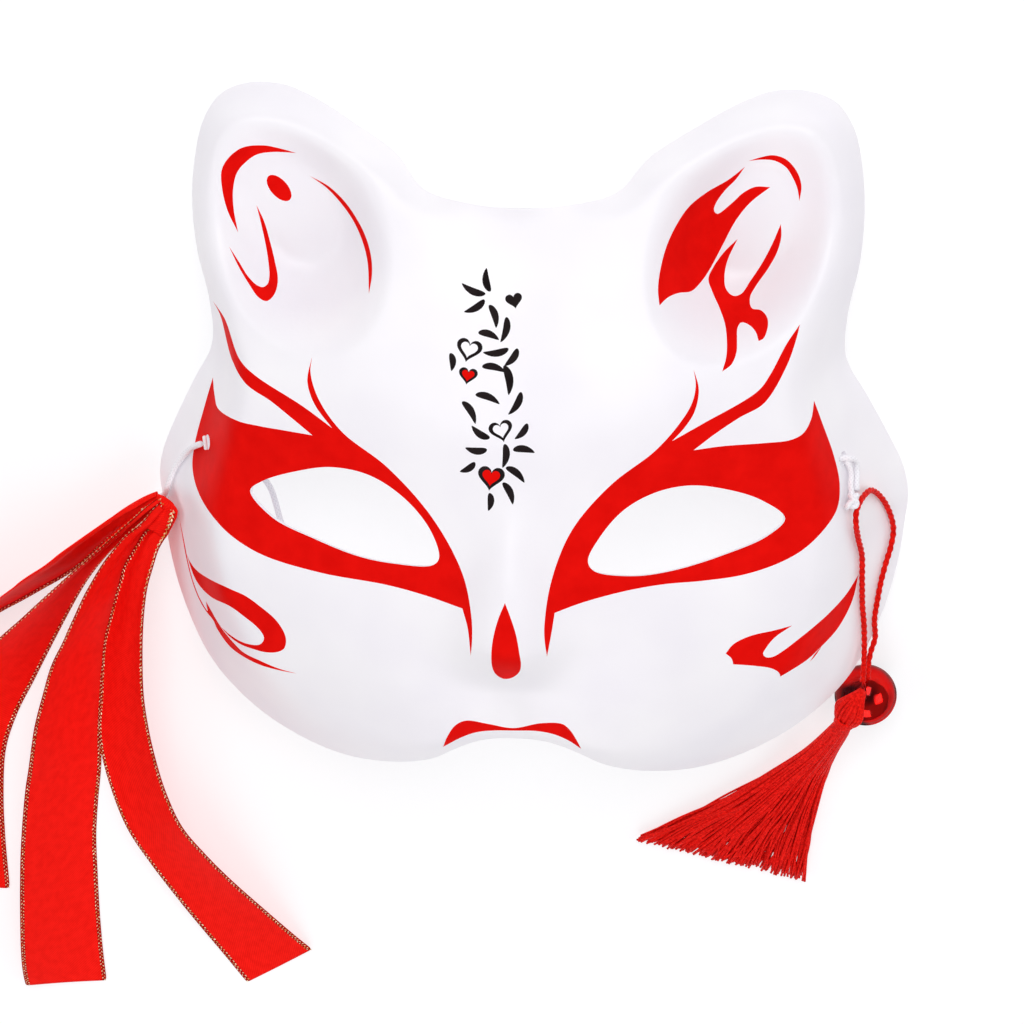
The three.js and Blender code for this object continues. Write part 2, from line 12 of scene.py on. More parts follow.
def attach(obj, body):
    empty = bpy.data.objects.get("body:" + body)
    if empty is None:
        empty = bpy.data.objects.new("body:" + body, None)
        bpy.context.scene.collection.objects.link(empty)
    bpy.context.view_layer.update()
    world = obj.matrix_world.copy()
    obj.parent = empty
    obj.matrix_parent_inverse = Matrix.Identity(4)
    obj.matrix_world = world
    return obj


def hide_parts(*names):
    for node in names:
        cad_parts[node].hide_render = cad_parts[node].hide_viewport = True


bl_info = {
    "name": "Fox half-face mask",
    "version": (1, 0, 0),
    "blender": (4, 5, 0),
    "location": "3D View > Sidebar > Mask",
    "description": "Makes a printed fox half-face mask with its ribbons, bell and tassel",
    "category": "Add Mesh",
}

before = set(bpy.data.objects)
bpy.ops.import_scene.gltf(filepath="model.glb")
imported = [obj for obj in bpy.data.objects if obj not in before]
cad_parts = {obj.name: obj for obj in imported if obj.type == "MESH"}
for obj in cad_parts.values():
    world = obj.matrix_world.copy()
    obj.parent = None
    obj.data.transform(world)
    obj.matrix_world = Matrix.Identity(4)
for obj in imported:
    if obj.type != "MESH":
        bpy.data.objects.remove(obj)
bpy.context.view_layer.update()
MM = 0.001

# The face's own frame, in millimetres: x to the right, y to the ears, z out of the face
LEAN = math.radians(7.4)
HINGE_Y = -5.6
ORIGIN_Y = 15.1
CROWN_Z, CHEEK_CURVE, CHIN_CURVE = 55, 270, 0.0036
BROW_Y, BROW_RISE, BROW_BEND, BROW_ROUNDING = 18.3, 0.4, 10, 7
FOREHEAD_FALL = 0.47
EAR_Z, EAR_ROOT_DROP, EAR_ROOT, EAR_ROUNDING = 28.5, 45, (8, 44), 5
FLANGE_SHARE, FLANGE_TURN = 0.6, (0.1, 0.74)
CREASE_REACH = 2.2

# The strap holes, which are narrow as seen from above because the wall is steep there
HOLE_X, HOLE_Y, HOLE_RADIUS, HOLE_NARROWING = 75.7, 9.6, 1.6, 0.55

# The right ear's cup: its middle, its long and short half sizes, the way it is long, which is
# 60 degrees up, the share of its size where its wall starts and ends, and its floor's height
EAR_MIDDLE, EAR_HALVES, EAR_WAY = (53, 65.8), (27, 19), (0.5, 0.866)
EAR_WALL, EAR_FLOOR_Z = (0.42, 1.16), 22

# Eye socket and cheek on each side: middle x and y, reach across and along, height
SWELLINGS = [(41, 1, 27, 14, -3.6), (31, -38, 23, 17, 3)]

# The nose and the groove down to the lip, with the distances below the eyes, which count
# downwards, between which they rise, widen and end
NOSE_HEIGHT, NOSE_WIDTH, NOSE_GAIN = 10, 8, 4
NOSE_RISE, NOSE_WIDENING, NOSE_END = (-14, 26), (0, 26), (26, 42)
GROOVE_DEPTH, GROOVE_WIDTH, GROOVE_START = 1.2, 4.5, (40, 50)

# Right half of the back edge, from the dip between the ears to the lip:
# x, y, z, width of the side wall, share of flange
EDGE_KEYS = [
    (0, 70.2, 33, 5, 0), (12, 71, 31.5, 5, 0), (22.2, 73.4, 28, 5.5, 0),
    (29.3, 80.5, 22, 6, 0), (40.5, 87.3, 18, 7, 0), (50, 92.2, 14.5, 7.5, 0),
    (58, 94.7, 12.6, 8, 0), (65.6, 94.6, 12.6, 8.5, 0), (71.6, 92, 12.4, 9, 0),
    (75.8, 86, 13, 9, 0), (78, 77, 14, 9, 0), (78.8, 67.2, 15, 9.5, 0),
    (78.2, 54.9, 14, 10.5, 0), (75.9, 42, 12.5, 12, 0.2), (76, 31.5, 11, 15, 0.5),
    (81.2, 21.7, 8, 19, 0.8), (86.7, 11.3, 4.2, 22, 1), (91.4, 1, 0.3, 24, 1),
    (92.6, -5.6, -0.4, 24, 1), (92.2, -11.4, -0.95, 24, 1), (90.6, -22.8, 2, 24, 1),
    (86.7, -36.5, 5, 24, 0.9), (79.1, -50.4, 10, 23, 0.7), (67.5, -60.2, 16, 21, 0.3),
    (54.3, -66.5, 21, 18, 0), (41.9, -69.3, 25, 15, 0), (29.2, -69.1, 28, 12, 0),
    (21.1, -66.6, 31, 10, 0), (16, -62.9, 34.5, 7, 0), (11.6, -59.7, 37.5, 5, 0),
    (6.5, -57.2, 40, 4, 0), (0, -56.4, 41, 4, 0),
]

# Outlines of the two eye openings, in the face's millimetres
LEFT_EYE = [
    (-62.6, 2.9), (-59.6, 5.7), (-51, 9.4), (-41.8, 11.7), (-32.7, 10.7), (-24.4, 5.8),
    (-18.4, -1.2), (-16.4, -7.4), (-18, -9.3), (-26.9, -9.9), (-36, -9.2), (-46.5, -6.6),
    (-57.2, -2.8),
]
RIGHT_EYE = [
    (62.5, -0.2), (57, 4.7), (49, 8), (40.6, 9.6), (33, 8.4), (25.8, 4.5), (20.3, -1.9),
    (17.8, -7.2), (19.2, -9.6), (27.5, -11.2), (36.5, -10.6), (48, -7.9), (58.6, -4),
]

# The camera: its turn and tilt against the face, its distance, and what it aims at
YAW = math.radians(5.2)
PITCH = math.radians(18)
DISTANCE = 650
AIM = Vector((-0.76, 0, 40))
PIXELS_PER_MM = 4.3
IMAGE = 1024
FOCAL = PIXELS_PER_MM * DISTANCE
TOWARDS_CAMERA = Vector(
    (math.sin(YAW) * math.cos(PITCH), math.sin(PITCH), math.cos(YAW) * math.cos(PITCH))
)
CAMERA_RIGHT = Vector((math.cos(YAW), 0, -math.sin(YAW)))
CAMERA_UP = TOWARDS_CAMERA.cross(CAMERA_RIGHT)

# Heights between which a line of sight is searched for the face
SEARCHED, SEARCH_STEPS = (80, -10), 60

# Red brush strokes, in pixels of the photograph. A third number marks a sharp point.
RED_STROKES = {
    "left_eye": [
        (212.9, 377.2, 1), (205.3, 403.4), (195, 442.9), (192.5, 468.4), (200.2, 496.5),
        (221.8, 527.1), (257.6, 552.6), (318.3, 572.2), (387.5, 585.1), (427, 596),
        (454.7, 605.8), (462.3, 608.5, 1), (467.5, 627.6), (470.7, 655.8, 1), (472.1, 639.9),
        (471.5, 617.7), (462.6, 574.2), (433, 518.9), (387.5, 467.5), (342, 431.9),
        (318.8, 399.5), (310.5, 372.8), (312, 357, 1), (307.3, 379.1), (309.8, 393.2),
        (316.2, 407.2), (332, 428, 1), (302.2, 405.9), (255, 375.3), (239.7, 360),
        (224.6, 318.9), (213, 301.1, 1), (220.2, 315.4), (232, 360), (244.8, 383),
        (270.3, 400.8), (283.1, 411), (312.4, 435.3, 1), (283.1, 430.2), (257.6, 425.7),
        (234.6, 419.9), (218, 408.5), (214.8, 395.7),
    ],
    "right_eye": [
        (814.1, 400.6, 1), (823.3, 425.7), (833.5, 454.3), (839.6, 482.9), (837.6, 507.3),
        (827.3, 525.7), (804.9, 548.2), (780.4, 562.4), (743.7, 574.7), (702.9, 580.8),
        (662, 584.5), (621.2, 592), (580.4, 603.3), (554.7, 612.9, 1), (551.5, 633),
        (547, 656.6, 1), (544.7, 641.3), (544.3, 625.9), (551.6, 580), (572.2, 529.8),
        (611, 484.9), (655.9, 450.2), (682.4, 419.6), (692.7, 401.2), (695.7, 384.9),
        (693.7, 369.6, 1), (698.8, 389), (694.7, 411.4), (684.5, 427.8), (672.2, 441, 1),
        (702.9, 423.7), (758, 391), (770.2, 374.7), (786.5, 344.1), (800, 324.3, 1),
        (796.1, 340), (786.5, 366.5), (764.1, 403.3), (739.6, 417.6), (715.1, 433.9),
        (693.7, 450.2, 1), (723.3, 446.1), (764.1, 443.1), (790.6, 440), (802.9, 433.9),
        (811, 419.6),
    ],
    "nose": [
        (504.9, 603, 1), (498, 619.8), (493.4, 636.7), (491.4, 652), (491.9, 665.8),
        (495, 673.4), (501.1, 678), (506.4, 679), (513.3, 677.2), (519.4, 671.9),
        (521, 665), (519.4, 653.5), (516.4, 636.7), (511.8, 621.3),
    ],
    "lip": [
        (442.9, 747.2, 1), (447.5, 736.2), (455.1, 725.5), (465.8, 720.6), (488.8, 724),
        (513.3, 728.1), (540.9, 723.2), (562.3, 724), (570, 730.1), (576.1, 739.3),
        (581.2, 749.2, 1), (568.5, 740.8), (554.7, 734.7), (537.8, 731.3), (514.9, 730.8),
        (491.9, 730.8), (476.6, 732.4), (461.3, 737.7),
    ],
    "left_ear_crescent": [
        (296.1, 152.9, 1), (280, 148.4), (263.9, 145.4), (242.5, 147.5), (228.2, 158.2),
        (221.4, 170.7), (222, 188.6), (227.3, 210), (238, 232.3, 1), (233.6, 208.2),
        (233.2, 188.6), (237.1, 172.5), (246.1, 161.8), (256.8, 154.6), (272.9, 152),
    ],
    "left_ear_hook": [
        (256.4, 205, 1), (263.9, 220.7), (269.3, 238.6), (274.6, 260), (277.9, 279.6),
        (274.6, 293.9), (267, 301.1), (258.6, 297.5), (249.6, 285), (238.9, 267.1),
        (229.1, 246.6, 1), (238.9, 261.8), (247.9, 276.1), (256.8, 285), (263, 287.1),
        (267.5, 284.1), (269.3, 276.1), (267.9, 258.2), (264.8, 240.4), (260.4, 220.7),
    ],
    "left_ear_arc": [
        (310, 176.1, 1), (328.2, 185.9), (344.3, 201.1), (356.8, 218.9), (365.7, 236.8),
        (371.1, 256.4), (372, 274.3), (368.9, 293.9, 1), (367.5, 261.8), (362.1, 240.4),
        (353.2, 220.7), (340.7, 202.9), (326.4, 187.7),
    ],
    "right_ear_leaf": [
        (745, 166.8, 1), (728.6, 179.6), (707.1, 192.1), (689.3, 206.4), (676.8, 224.3),
        (666.1, 247.5), (659.8, 272.5), (658, 290.4), (659.5, 305.5, 1), (667.9, 297.5),
        (678.6, 293), (691.1, 291.3), (700, 283.2), (708.9, 270.7), (721.4, 247.5),
        (735.7, 220.7), (750, 202.9), (770.2, 187.1, 1), (755.4, 186.8), (742.9, 193),
        (732.1, 202.9), (717, 213.9), (713.9, 210), (716.1, 202.9), (725, 190.4),
        (735.7, 179.6),
    ],
    "right_ear_arc": [
        (748.6, 160.9, 1), (760.7, 157.3), (773.2, 155.2), (785.7, 159.1), (796.4, 170.7),
        (801.4, 185), (799.5, 201.1, 1), (797.3, 188.6), (792.9, 177.9), (785.7, 167.1),
        (775, 160.9), (762.5, 159.6),
    ],
    "right_ear_flame": [
        (737.5, 239.1, 1), (725, 251.1), (714.3, 265.4), (708.4, 278.8), (712.5, 292.1),
        (719.6, 308.2), (725, 324.3), (726.8, 340), (726.3, 356.3), (722.2, 371.6, 1),
        (731.4, 364.5), (736.5, 352.2), (737, 340), (737.5, 327.9), (741.1, 322.5),
        (748.2, 324.3), (755.4, 331.4), (758.6, 341, 1), (763.4, 338.6), (767.9, 326.1),
        (767, 317.1), (760.7, 310), (751.8, 308.2), (750, 297.5), (755.4, 286.8),
        (767.9, 268.9), (776.8, 252.9), (781.3, 236.8), (780.9, 223.9, 1), (771.4, 245.7),
        (760.7, 265.4), (750, 281.4), (741.1, 293.9), (733, 295.7), (725.9, 288.6),
        (724.5, 276.1), (727.7, 260),
    ],
    "left_cheek_loop": [
        (184.3, 545.7, 1), (188.6, 558.7), (196.2, 569.6), (208.1, 578.3), (227.6, 588),
        (245, 595.6), (260.1, 606.4), (275.3, 619.4), (284, 632.4), (286.1, 641.1),
        (284, 648.7), (277.5, 652), (266.6, 652.4), (253.6, 649.3), (240.6, 644.4),
        (229.8, 636.8), (221.1, 627, 1), (229.8, 634.6), (240.6, 641.5), (251.5, 644.8),
        (260.1, 644.4), (264, 638.9), (262.3, 633.5), (255.8, 625.9), (245, 617.3),
        (229.8, 606.4), (212.4, 597.8), (201.6, 588), (195.1, 578.2), (190.8, 567.4),
    ],
    "left_cheek_line": [
        (179.5, 518.6, 1), (183.2, 541.4), (186.9, 560.9), (191.9, 580.4), (198.4, 597.8),
        (205.9, 610.8), (213.5, 620.5), (216.8, 628.1), (229.8, 646.5), (242.8, 656.3),
        (260.1, 665), (279.6, 670.4), (297, 673.6, 1), (278.6, 668.5), (260.5, 661),
        (243.5, 652.5), (232, 641), (223, 630), (219, 624), (216.8, 620.5), (211.4, 610.8),
        (205.9, 601, 1), (207, 607.5), (208, 611.5), (199.5, 597.5), (192.8, 580),
        (187.9, 560.7), (184.1, 541),
    ],
    "right_cheek": [
        (858.4, 574.7, 1), (845.9, 594.6), (829.4, 612.9), (812.8, 627.8), (796.2, 641.1),
        (782.9, 651), (773, 656.8), (766.3, 657.3), (763, 654.3), (766.3, 647.7),
        (774.6, 637.7), (792, 625.6, 1), (774.6, 630.3), (749.8, 636.1), (733.2, 644.4),
        (725.7, 653.5, 1), (731.5, 658.5), (733.2, 664.3, 1), (754.7, 665.9), (771.3, 668.4),
        (778.8, 672.6), (780.4, 676.7, 1), (792.9, 669.3), (807.8, 659.3), (819.4, 648.5),
        (836.5, 630), (846.8, 613), (853.6, 596.5),
    ],
    "right_cheek_tick": [(822, 646, 1), (816, 655), (809.8, 662, 1), (814.5, 654.5)],
}
EAR_DOT = (279.1, 188, 16, 8.5, 48)  # middle, half sizes in pixels and turn in degrees
OUTLINE_STEP = 2.4
INKS = ("white", "red", "black")
OPENINGS = ("left_hole", "right_hole", "left_tie", "right_tie")

# The shell's mesh seen from above: how far it reaches, where a row of points lies, height of
# a triangle in steps, and how clear of the outlines the points stay
SHEET_X, SHEET_Y, ROW_Y = 94, (-71, 97), 6
TRIANGLE, CLEARANCE = 0.866, 0.62

# Brow ornament in black ink: hearts (x, y, half width, turn, colour of the heart inside) and
# plain brush dabs (x, y, length, width, turn), all in pixels
HEARTS = [
    (514, 300, 8.5, -12, ""),
    (469, 349, 13, 14, "white"),
    (468, 375, 9.5, 10, "red"),
    (501, 430, 12, -14, "white"),
    (491, 477, 13.5, 8, "red"),
]
INNER_HEART = 0.66
DABS = [
    (475, 307, 24, 7, 150), (473, 290, 26, 7, 205), (487, 280, 24, 7, 262),
    (494, 316, 24, 7, 74), (505, 330, 26, 7, 104), (489, 335, 22, 7, 20),
    (496, 352, 26, 7, 172), (512, 358, 22, 7, 128), (494, 368, 24, 7, 14),
    (508, 380, 30, 8, 82), (452, 362, 18, 6.5, 88), (488, 398, 26, 7, 22),
    (516, 404, 26, 7, 120), (470, 412, 26, 7, 60), (480, 433, 22, 7, 215),
    (476, 450, 22, 7, 186), (522, 432, 20, 6.5, 130), (524, 450, 22, 7, 8),
    (505, 456, 24, 7, 96), (516, 474, 24, 7, 40), (468, 468, 18, 6.5, 150),
    (509, 493, 24, 7, 66), (490, 502, 18, 6.5, 95),
]

# The elastic's route: on the face from the left hole, along the floor inside the mask,
# and up to the right hole
STRAP_OUTSIDE_LEFT = [
    (-76, 8.9, 1.6), (-77.6, 7.6, 1.5), (-79.9, 5.8, 1.4), (-83.2, 2.3, 1.35),
    (-86.3, -2.1, 1.3), (-88, -6, 1.3),
]
STRAP_FLOOR = [
    (-91, -9.4, 4.2), (-93.9, -12, 2.1), (-94.8, -15.2, 1.3), (-93.8, -18.6, 1.2),
    (-90.8, -20.8, 1.2), (-86.4, -18.8, 1.2), (-80.5, -12.5, 1.2), (-75.5, -5.5, 1.2),
    (-70.4, -3.2, 1.2), (-65.6, -6.3, 1.2), (-62.4, -17.5, 1.2), (-59.5, -31, 1.2),
    (-50, -43.5, 1.2), (-34, -50.5, 1.2), (-12, -53, 1.2), (12, -52.5, 1.2), (34, -49, 1.2),
    (53, -41, 1.2), (67, -27, 1.2), (72.5, -10, 1.6), (73, 3, 8), (72, 9, 14.5),
]
STRAP_OUTSIDE_RIGHT = [
    (HOLE_X, HOLE_Y, -3), (HOLE_X, HOLE_Y, 1), (77.4, 8, 1.7), (78, 5.6, 1.4),
    (77.7, 3.2, 1.7), (77.4, 1.9, 2),
]
STRAP_KNOT = (76.8, 0.2, 1.9)
KNOT_SIZE = 0.52
KNOT_STRAND = [
    (HOLE_X + 0.2, HOLE_Y - 0.6, 0.6), (76.3, 7.8, 1), (76.8, 5.6, 1.2), (76.5, 3.2, 1.4),
    (76.6, 1.4, 1.7),
]
KNOT_END = [(76.6, 0.4, 1.8), (76, -0.1, 1.8), (75.5, -0.8, 1.4)]
STRAP_BAR = (-74.9, 9.8, 1.1)
BAR_RADIUS, BAR_LENGTH = 0.5, 3.6

# The red cord's route from the bell's shank up to the knot and back: free, on the face, free
CORD_UP = [(84.3, -48.6, 15.6), (84.3, -45.4, 14.4), (84.8, -42.4, 13.2)]
CORD_ON_FACE = [
    (84.9, -40.4, 1.3), (84.5, -35.1, 1.1), (85, -29.8, 1.1), (85.7, -25, 1.1),
    (86.7, -20.8, 1.1), (87.8, -17.1, 1.1), (88.3, -13.2, 1.1), (87.5, -9.1, 1.1),
    (85.8, -5.1, 1.1), (84.2, -2.9, 1.3), (82.5, -1.1, 1.6), (80.9, -0.1, 1.9),
    (79.1, -0.5, 2), (77.9, -1.9, 1.9), (77.6, -3.4, 1.8), (78, -5.8, 1.5), (79, -10, 1.2),
    (80.3, -15.5, 1.1), (80.7, -22.3, 1.1), (81.2, -29.5, 1.1), (81.8, -35.3, 1.2),
]
CORD_DOWN = [(83.1, -40.4, 15.9), (83.1, -44.6, 16.8), (83, -48.4, 17.6)]

# Ribbon tails: x, y and z of the right edge, width, and tilt of the cloth in degrees,
# which is negative where the right edge stands higher
RIBBON_TAILS = {
    "ribbon_tail_1": [
        (-90.8, -8.4, 8.8, 2.5, 20), (-94, -10.7, 8.6, 4, 40), (-98.1, -14.4, 7, 6.8, 50),
        (-103.3, -19.6, 4.5, 10, 56), (-108.8, -25.4, 2.5, 14.5, 60),
        (-114.1, -30.9, 1.2, 17.5, 62), (-118.7, -34.6, 0.6, 22, 66),
        (-124.3, -38.2, 0.3, 22, 68), (-130.9, -42.3, 0.3, 22, 70), (-137, -45.9, 0.3, 22, 70),
        (-148, -53.5, 0.3, 22, 52), (-157.5, -65.5, 0.3, 22, 28), (-163.3, -82, 0.3, 22, 8),
        (-165.2, -102, 0.3, 22, 0), (-165.5, -124, 0.3, 22, 0),
    ],
    "ribbon_tail_2": [
        (-90.2, -9.4, 9.2, 2, 20), (-93.4, -11.9, 8.8, 2.8, 45), (-96.9, -15.6, 6.8, 3.8, 55),
        (-101, -20.3, 4.8, 6.2, 62), (-105, -24.8, 3.2, 8.5, 65), (-109, -29.7, 2, 13, 66),
        (-112.4, -34.3, 1.1, 16, 65), (-115.5, -39.2, 0.6, 19, 63), (-118.9, -45.2, 0.3, 22, 60),
        (-122.3, -51.4, 0.3, 22, 54), (-126, -58.3, 0.3, 22, 46), (-130.1, -66.1, 0.3, 22, 37),
        (-134.8, -74.9, 0.3, 22, 24), (-139, -86, 0.3, 22, 10), (-141, -100, 0.3, 22, 2),
        (-141.8, -114, 0.3, 22, 0), (-142, -130, 0.3, 22, 0),
    ],
    "ribbon_tail_3": [
        (-88, -10.6, 10, 3.4, 10), (-89.8, -13.9, 8.6, 5.8, 38), (-92.3, -17.9, 5.8, 9.2, 48),
        (-95.4, -22.4, 3.8, 11.4, 53), (-98.6, -27.5, 2.2, 14.9, 59), (-101.4, -33.2, 1.2, 18.5, 63),
        (-104, -39.3, 0.7, 21.4, 66), (-106.9, -45.9, 0.4, 22, 66), (-109.2, -53, 0.3, 22, 62),
        (-110.8, -61.2, 0.3, 22, 58), (-112.1, -70.8, 0.3, 22, 52), (-113.2, -80.4, 0.3, 22, 48),
        (-113.9, -90.1, 0.3, 22, 42), (-115.6, -101.2, 0.3, 22, 41), (-116.9, -111.7, 0.3, 22, 40),
        (-117.4, -122.6, 0.3, 22, 36), (-117.8, -136.4, 0.3, 22, 30), (-117.8, -149, 0.4, 22, 20),
        (-117.5, -158.4, 0.6, 22, 8),
    ],
    "ribbon_tail_4": [
        (-86.9, -10.9, 10.9, 2.5, -20), (-87.4, -13, 11.4, 3.8, -35), (-88.3, -15, 11.8, 5, -46),
        (-89.6, -17.3, 12.4, 6.2, -54), (-91.2, -20, 13.2, 8.8, -54), (-92.8, -24.7, 14.5, 11.6, -54),
        (-94.1, -29.2, 16, 14.2, -54), (-94.9, -34.4, 17.5, 16.2, -54),
        (-95.6, -41.4, 18.6, 17.4, -52), (-96.2, -49.8, 18.8, 18.4, -48),
        (-96.7, -59.1, 18, 19.6, -46), (-96.4, -68.7, 17, 20.4, -42), (-95.5, -78.4, 15.8, 21.6, -36),
        (-93.6, -89.3, 14.8, 22, -33), (-90, -99.3, 15, 22, -30), (-84.8, -107.6, 14.2, 22, -27),
        (-78.9, -116.5, 12.2, 22, -23), (-70.5, -129.3, 7.6, 22, -15), (-64.1, -139.4, 3.4, 22, -8),
        (-60.2, -145.2, 0.9, 22, -2),
    ],
}
FOLDED_TAIL = "ribbon_tail_1"
RIBBON_WIDTH = 22
RIBBON_COLUMNS = 14
SATIN_THICKNESS = 0.25
OVERLOCK = (1.25, 1.1)  # distance from the edge where the overlocking starts and is full
FOLDED_UNDER = 2

# How far the cloth lifts off its own plane: pleats where it is gathered, sag where it is
# tilted, sag of the folded tail, and ripples along its run
PLEAT, SAG, FOLD_SAG, RIPPLE, RIPPLE_RUN = 1.5, 0.9, 1.1, 0.35, 17

# Gold stitches along an edge: distance from the edge, distance between the two rows, lean in
# radians, and the least and greatest pitch, height, half length and half width
STITCH_INSET, STITCH_ROWS, STITCH_LEAN = 0.36, 0.58, 0.62
STITCH_PITCH, STITCH_HEIGHT = (0.5, 0.64), (0.26, 0.38)
STITCH_LENGTH, STITCH_WIDTH = (0.48, 0.62), (0.24, 0.31)

# Patterns of the cloth, as distances between lines, slubs or stitches, and the period of
# the wave texture at a scale of 1
TWILL_PITCH, SLUB_PITCH, OVERLOCK_PITCH, BRAID_PITCH = 0.5512, 2.381, 0.5556, 0.748
WAVE_PERIOD = math.tau / 20

# Bunch of folded ribbon: middle, half width and half height
RIBBON_BUNCH = [
    ((-89.2, -8.7, 8.2), (2.7, -1.4, 1.2), 1.6), ((-90, -10.8, 8), (3.2, -1.8, 1.4), 2.3),
    ((-91.8, -13.7, 7.6), (3.6, -2, 1.5), 2.8), ((-94.1, -16.4, 7.1), (4, -2.4, 1.6), 2.6),
]

# The bell: its middle, radius and wall, its crimped seam as shares of the radius, the slot with
# round holes at its ends, the shank's ring, the loose pellet, and the ways that the shank and
# the tassel's neck point
BELL = Vector((84.3, -57.5, 7.8))
BELL_RADIUS, BELL_WALL = 7.5, 0.5
SEAM_RISE, SEAM_DIP = 0.028, 0.012
SLOT_WIDTH, SLOT_END_RADIUS = 1.3, 1.5
SHANK_RADIUS, SHANK_THICKNESS, SHANK_LIFT = 2.1, 0.55, 0.5
PELLET, PELLET_RADIUS = (1.2, 0.4, -4.6), 2
SHANK_WAY = Vector((-0.08, 0.6, 0.8)).normalized()
NECK_WAY = Vector((-0.536, -0.356, 0.765)).normalized()

# Tassel head from the shank to the neck: distance from the bell's middle, half width and
# half thickness
HEAD_ROWS = [
    (10, 0.7, 0.5), (10.9, 1.8, 1.1), (10.4, 3.1, 1.5), (10.1, 3.9, 1.7), (10, 3.3, 1.7),
    (9.7, 2.3, 1.6),
]
HEAD_THREADS, HEAD_THREAD_RADIUS = 84, 0.36

# Shares of the turn from the shank's way to the neck's, for the head's two ends and the
# binding round the neck, whose distance from the bell's middle and radius follow
HEAD_TURN, NECK_TURN, NECK_AWAY, NECK_RADIUS = (0.03, 1.04), 0.97, 9.75, 2.3
BINDING_TURNS, BINDING_PITCH, BINDING_THREAD_RADIUS = 5, 0.55, 0.33

# Tassel threads: two ends of a row from the neck down, height and half thickness
TASSEL_ROWS = [
    ((77.7, -60.6), (80.3, -61.4), 14.9, 1.4), ((77.1, -61.8), (80.5, -63.8), 13.9, 1.5),
    ((70.4, -73.2), (77.6, -74.5), 7.8, 2.4), ((61.5, -83), (75.4, -83.5), 4, 2.6),
    ((50.4, -92), (73.4, -93.5), 3, 2.4), ((38, -99.6), (72, -105), 2.4, 1.9),
    ((27.5, -105.8), (71.2, -116.2), 1.8, 1.4),
]
SKIRT_THREADS, SKIRT_THREAD_RADIUS = 300, 0.3

# How far a thread strays, as shares of the skirt's width: from row to row, and in low rows
WANDER, FRAY = 0.003, 0.012

# The floor's own glow, and the share of its colour that it takes from the lights
FLOOR_GLOW = 0.66
FLOOR_SHARE = 0.42

# Studio lights: place in metres, size in metres and power in watts
ROOM_LIGHT = 0.34
LIGHTS = {
    "key": ((0.1, 0.9, 1.0), 0.8, 9.4),
    "low_fill": ((0.05, -1.0, 0.8), 0.8, 4.8),
    "left_fill": ((-1.1, -0.1, 0.8), 0.7, 3.0),
    "right_fill": ((1.1, 0.1, 0.9), 0.6, 3.0),
}


def linear(text):
    """sRGB hex to the linear colour that Blender works in."""
    parts = [int(text[i : i + 2], 16) / 255 for i in (0, 2, 4)]
    return tuple(p / 12.92 if p <= 0.04045 else ((p + 0.055) / 1.055) ** 2.4 for p in parts)


def smoothstep(x, low, high):
    part = min(max((x - low) / (high - low), 0.0), 1.0)
    return part * part * (3 - 2 * part)


def rounded_max(a, b, rounding):
    return (a + b + math.hypot(a - b, rounding)) / 2


def mix(a, b, part):
    return a + (b - a) * part


def smooth_curve(points, per, closed=False, space=3):
    """Points along a centripetal spline, per steps from each point to the next.
    The first numbers, up to space, set its course, and the others follow."""
    p = [np.array(q, float) for q in points]
    count = len(p)
    out = []
    for i in range(count if closed else count - 1):
        b, c = p[i], p[(i + 1) % count]
        a = p[i - 1] if closed or i > 0 else 2 * b - c
        d = p[(i + 2) % count] if closed or i + 2 < count else 2 * c - b
        gaps = [
            math.sqrt(max(np.linalg.norm((v - u)[:space]), 1e-6))
            for u, v in ((a, b), (b, c), (c, d))
        ]
        start = ((b - a) / gaps[0] - (c - a) / (gaps[0] + gaps[1]) + (c - b) / gaps[1]) * gaps[1]
        end = ((c - b) / gaps[1] - (d - b) / (gaps[1] + gaps[2]) + (d - c) / gaps[2]) * gaps[1]
        for k in range(per):
            t = k / per
            out.append(
                b + start * t + (3 * (c - b) - 2 * start - end) * t * t
                + (2 * (b - c) + start + end) * t ** 3
            )
    if not closed:
        out.append(p[-1])
    return out


def run_of(points):
    """Distance along a path at each of its points."""
    steps = [np.linalg.norm(np.subtract(b, a)) for a, b in zip(points, points[1:])]
    return [0.0, *np.cumsum(steps).tolist()]


def front_height(x, y):
    """Height of the face's front without its side walls."""
    side = abs(x)
    above = y - (BROW_Y + BROW_RISE * (math.hypot(x, BROW_BEND) - BROW_BEND))
    low = min(y, 0)
    z = CROWN_Z - x * x / CHEEK_CURVE - CHIN_CURVE * low * low
    z -= FOREHEAD_FALL * (above + math.hypot(above, BROW_ROUNDING)) / 2
    z = rounded_max(z, EAR_Z - EAR_ROOT_DROP * (1 - smoothstep(y, *EAR_ROOT)), EAR_ROUNDING)
    dx, dy = side - EAR_MIDDLE[0], y - EAR_MIDDLE[1]
    along = (dx * EAR_WAY[0] + dy * EAR_WAY[1]) / EAR_HALVES[0]
    across = (dx * EAR_WAY[1] - dy * EAR_WAY[0]) / EAR_HALVES[1]
    z = mix(z, EAR_FLOOR_Z, 1 - smoothstep(math.hypot(along, across), *EAR_WALL))
    for middle_x, middle_y, wide, long, height in SWELLINGS:
        z += height * math.exp(-(((side - middle_x) / wide) ** 2) - ((y - middle_y) / long) ** 2)
    ridge = smoothstep(-y, *NOSE_RISE) * (1 - smoothstep(-y, *NOSE_END))
    width = NOSE_WIDTH + NOSE_GAIN * smoothstep(-y, *NOSE_WIDENING)
    z += NOSE_HEIGHT * ridge * math.exp(-((x / width) ** 2))
    groove = math.exp(-((x / GROOVE_WIDTH) ** 2)) * smoothstep(-y, *GROOVE_START)
    return z - GROOVE_DEPTH * groove


def back_edge():
    """Points all round the shell's back edge."""
    keys = EDGE_KEYS + [(-k[0], *k[1:]) for k in EDGE_KEYS[-2:0:-1]]
    return smooth_curve(keys, 48, closed=True)


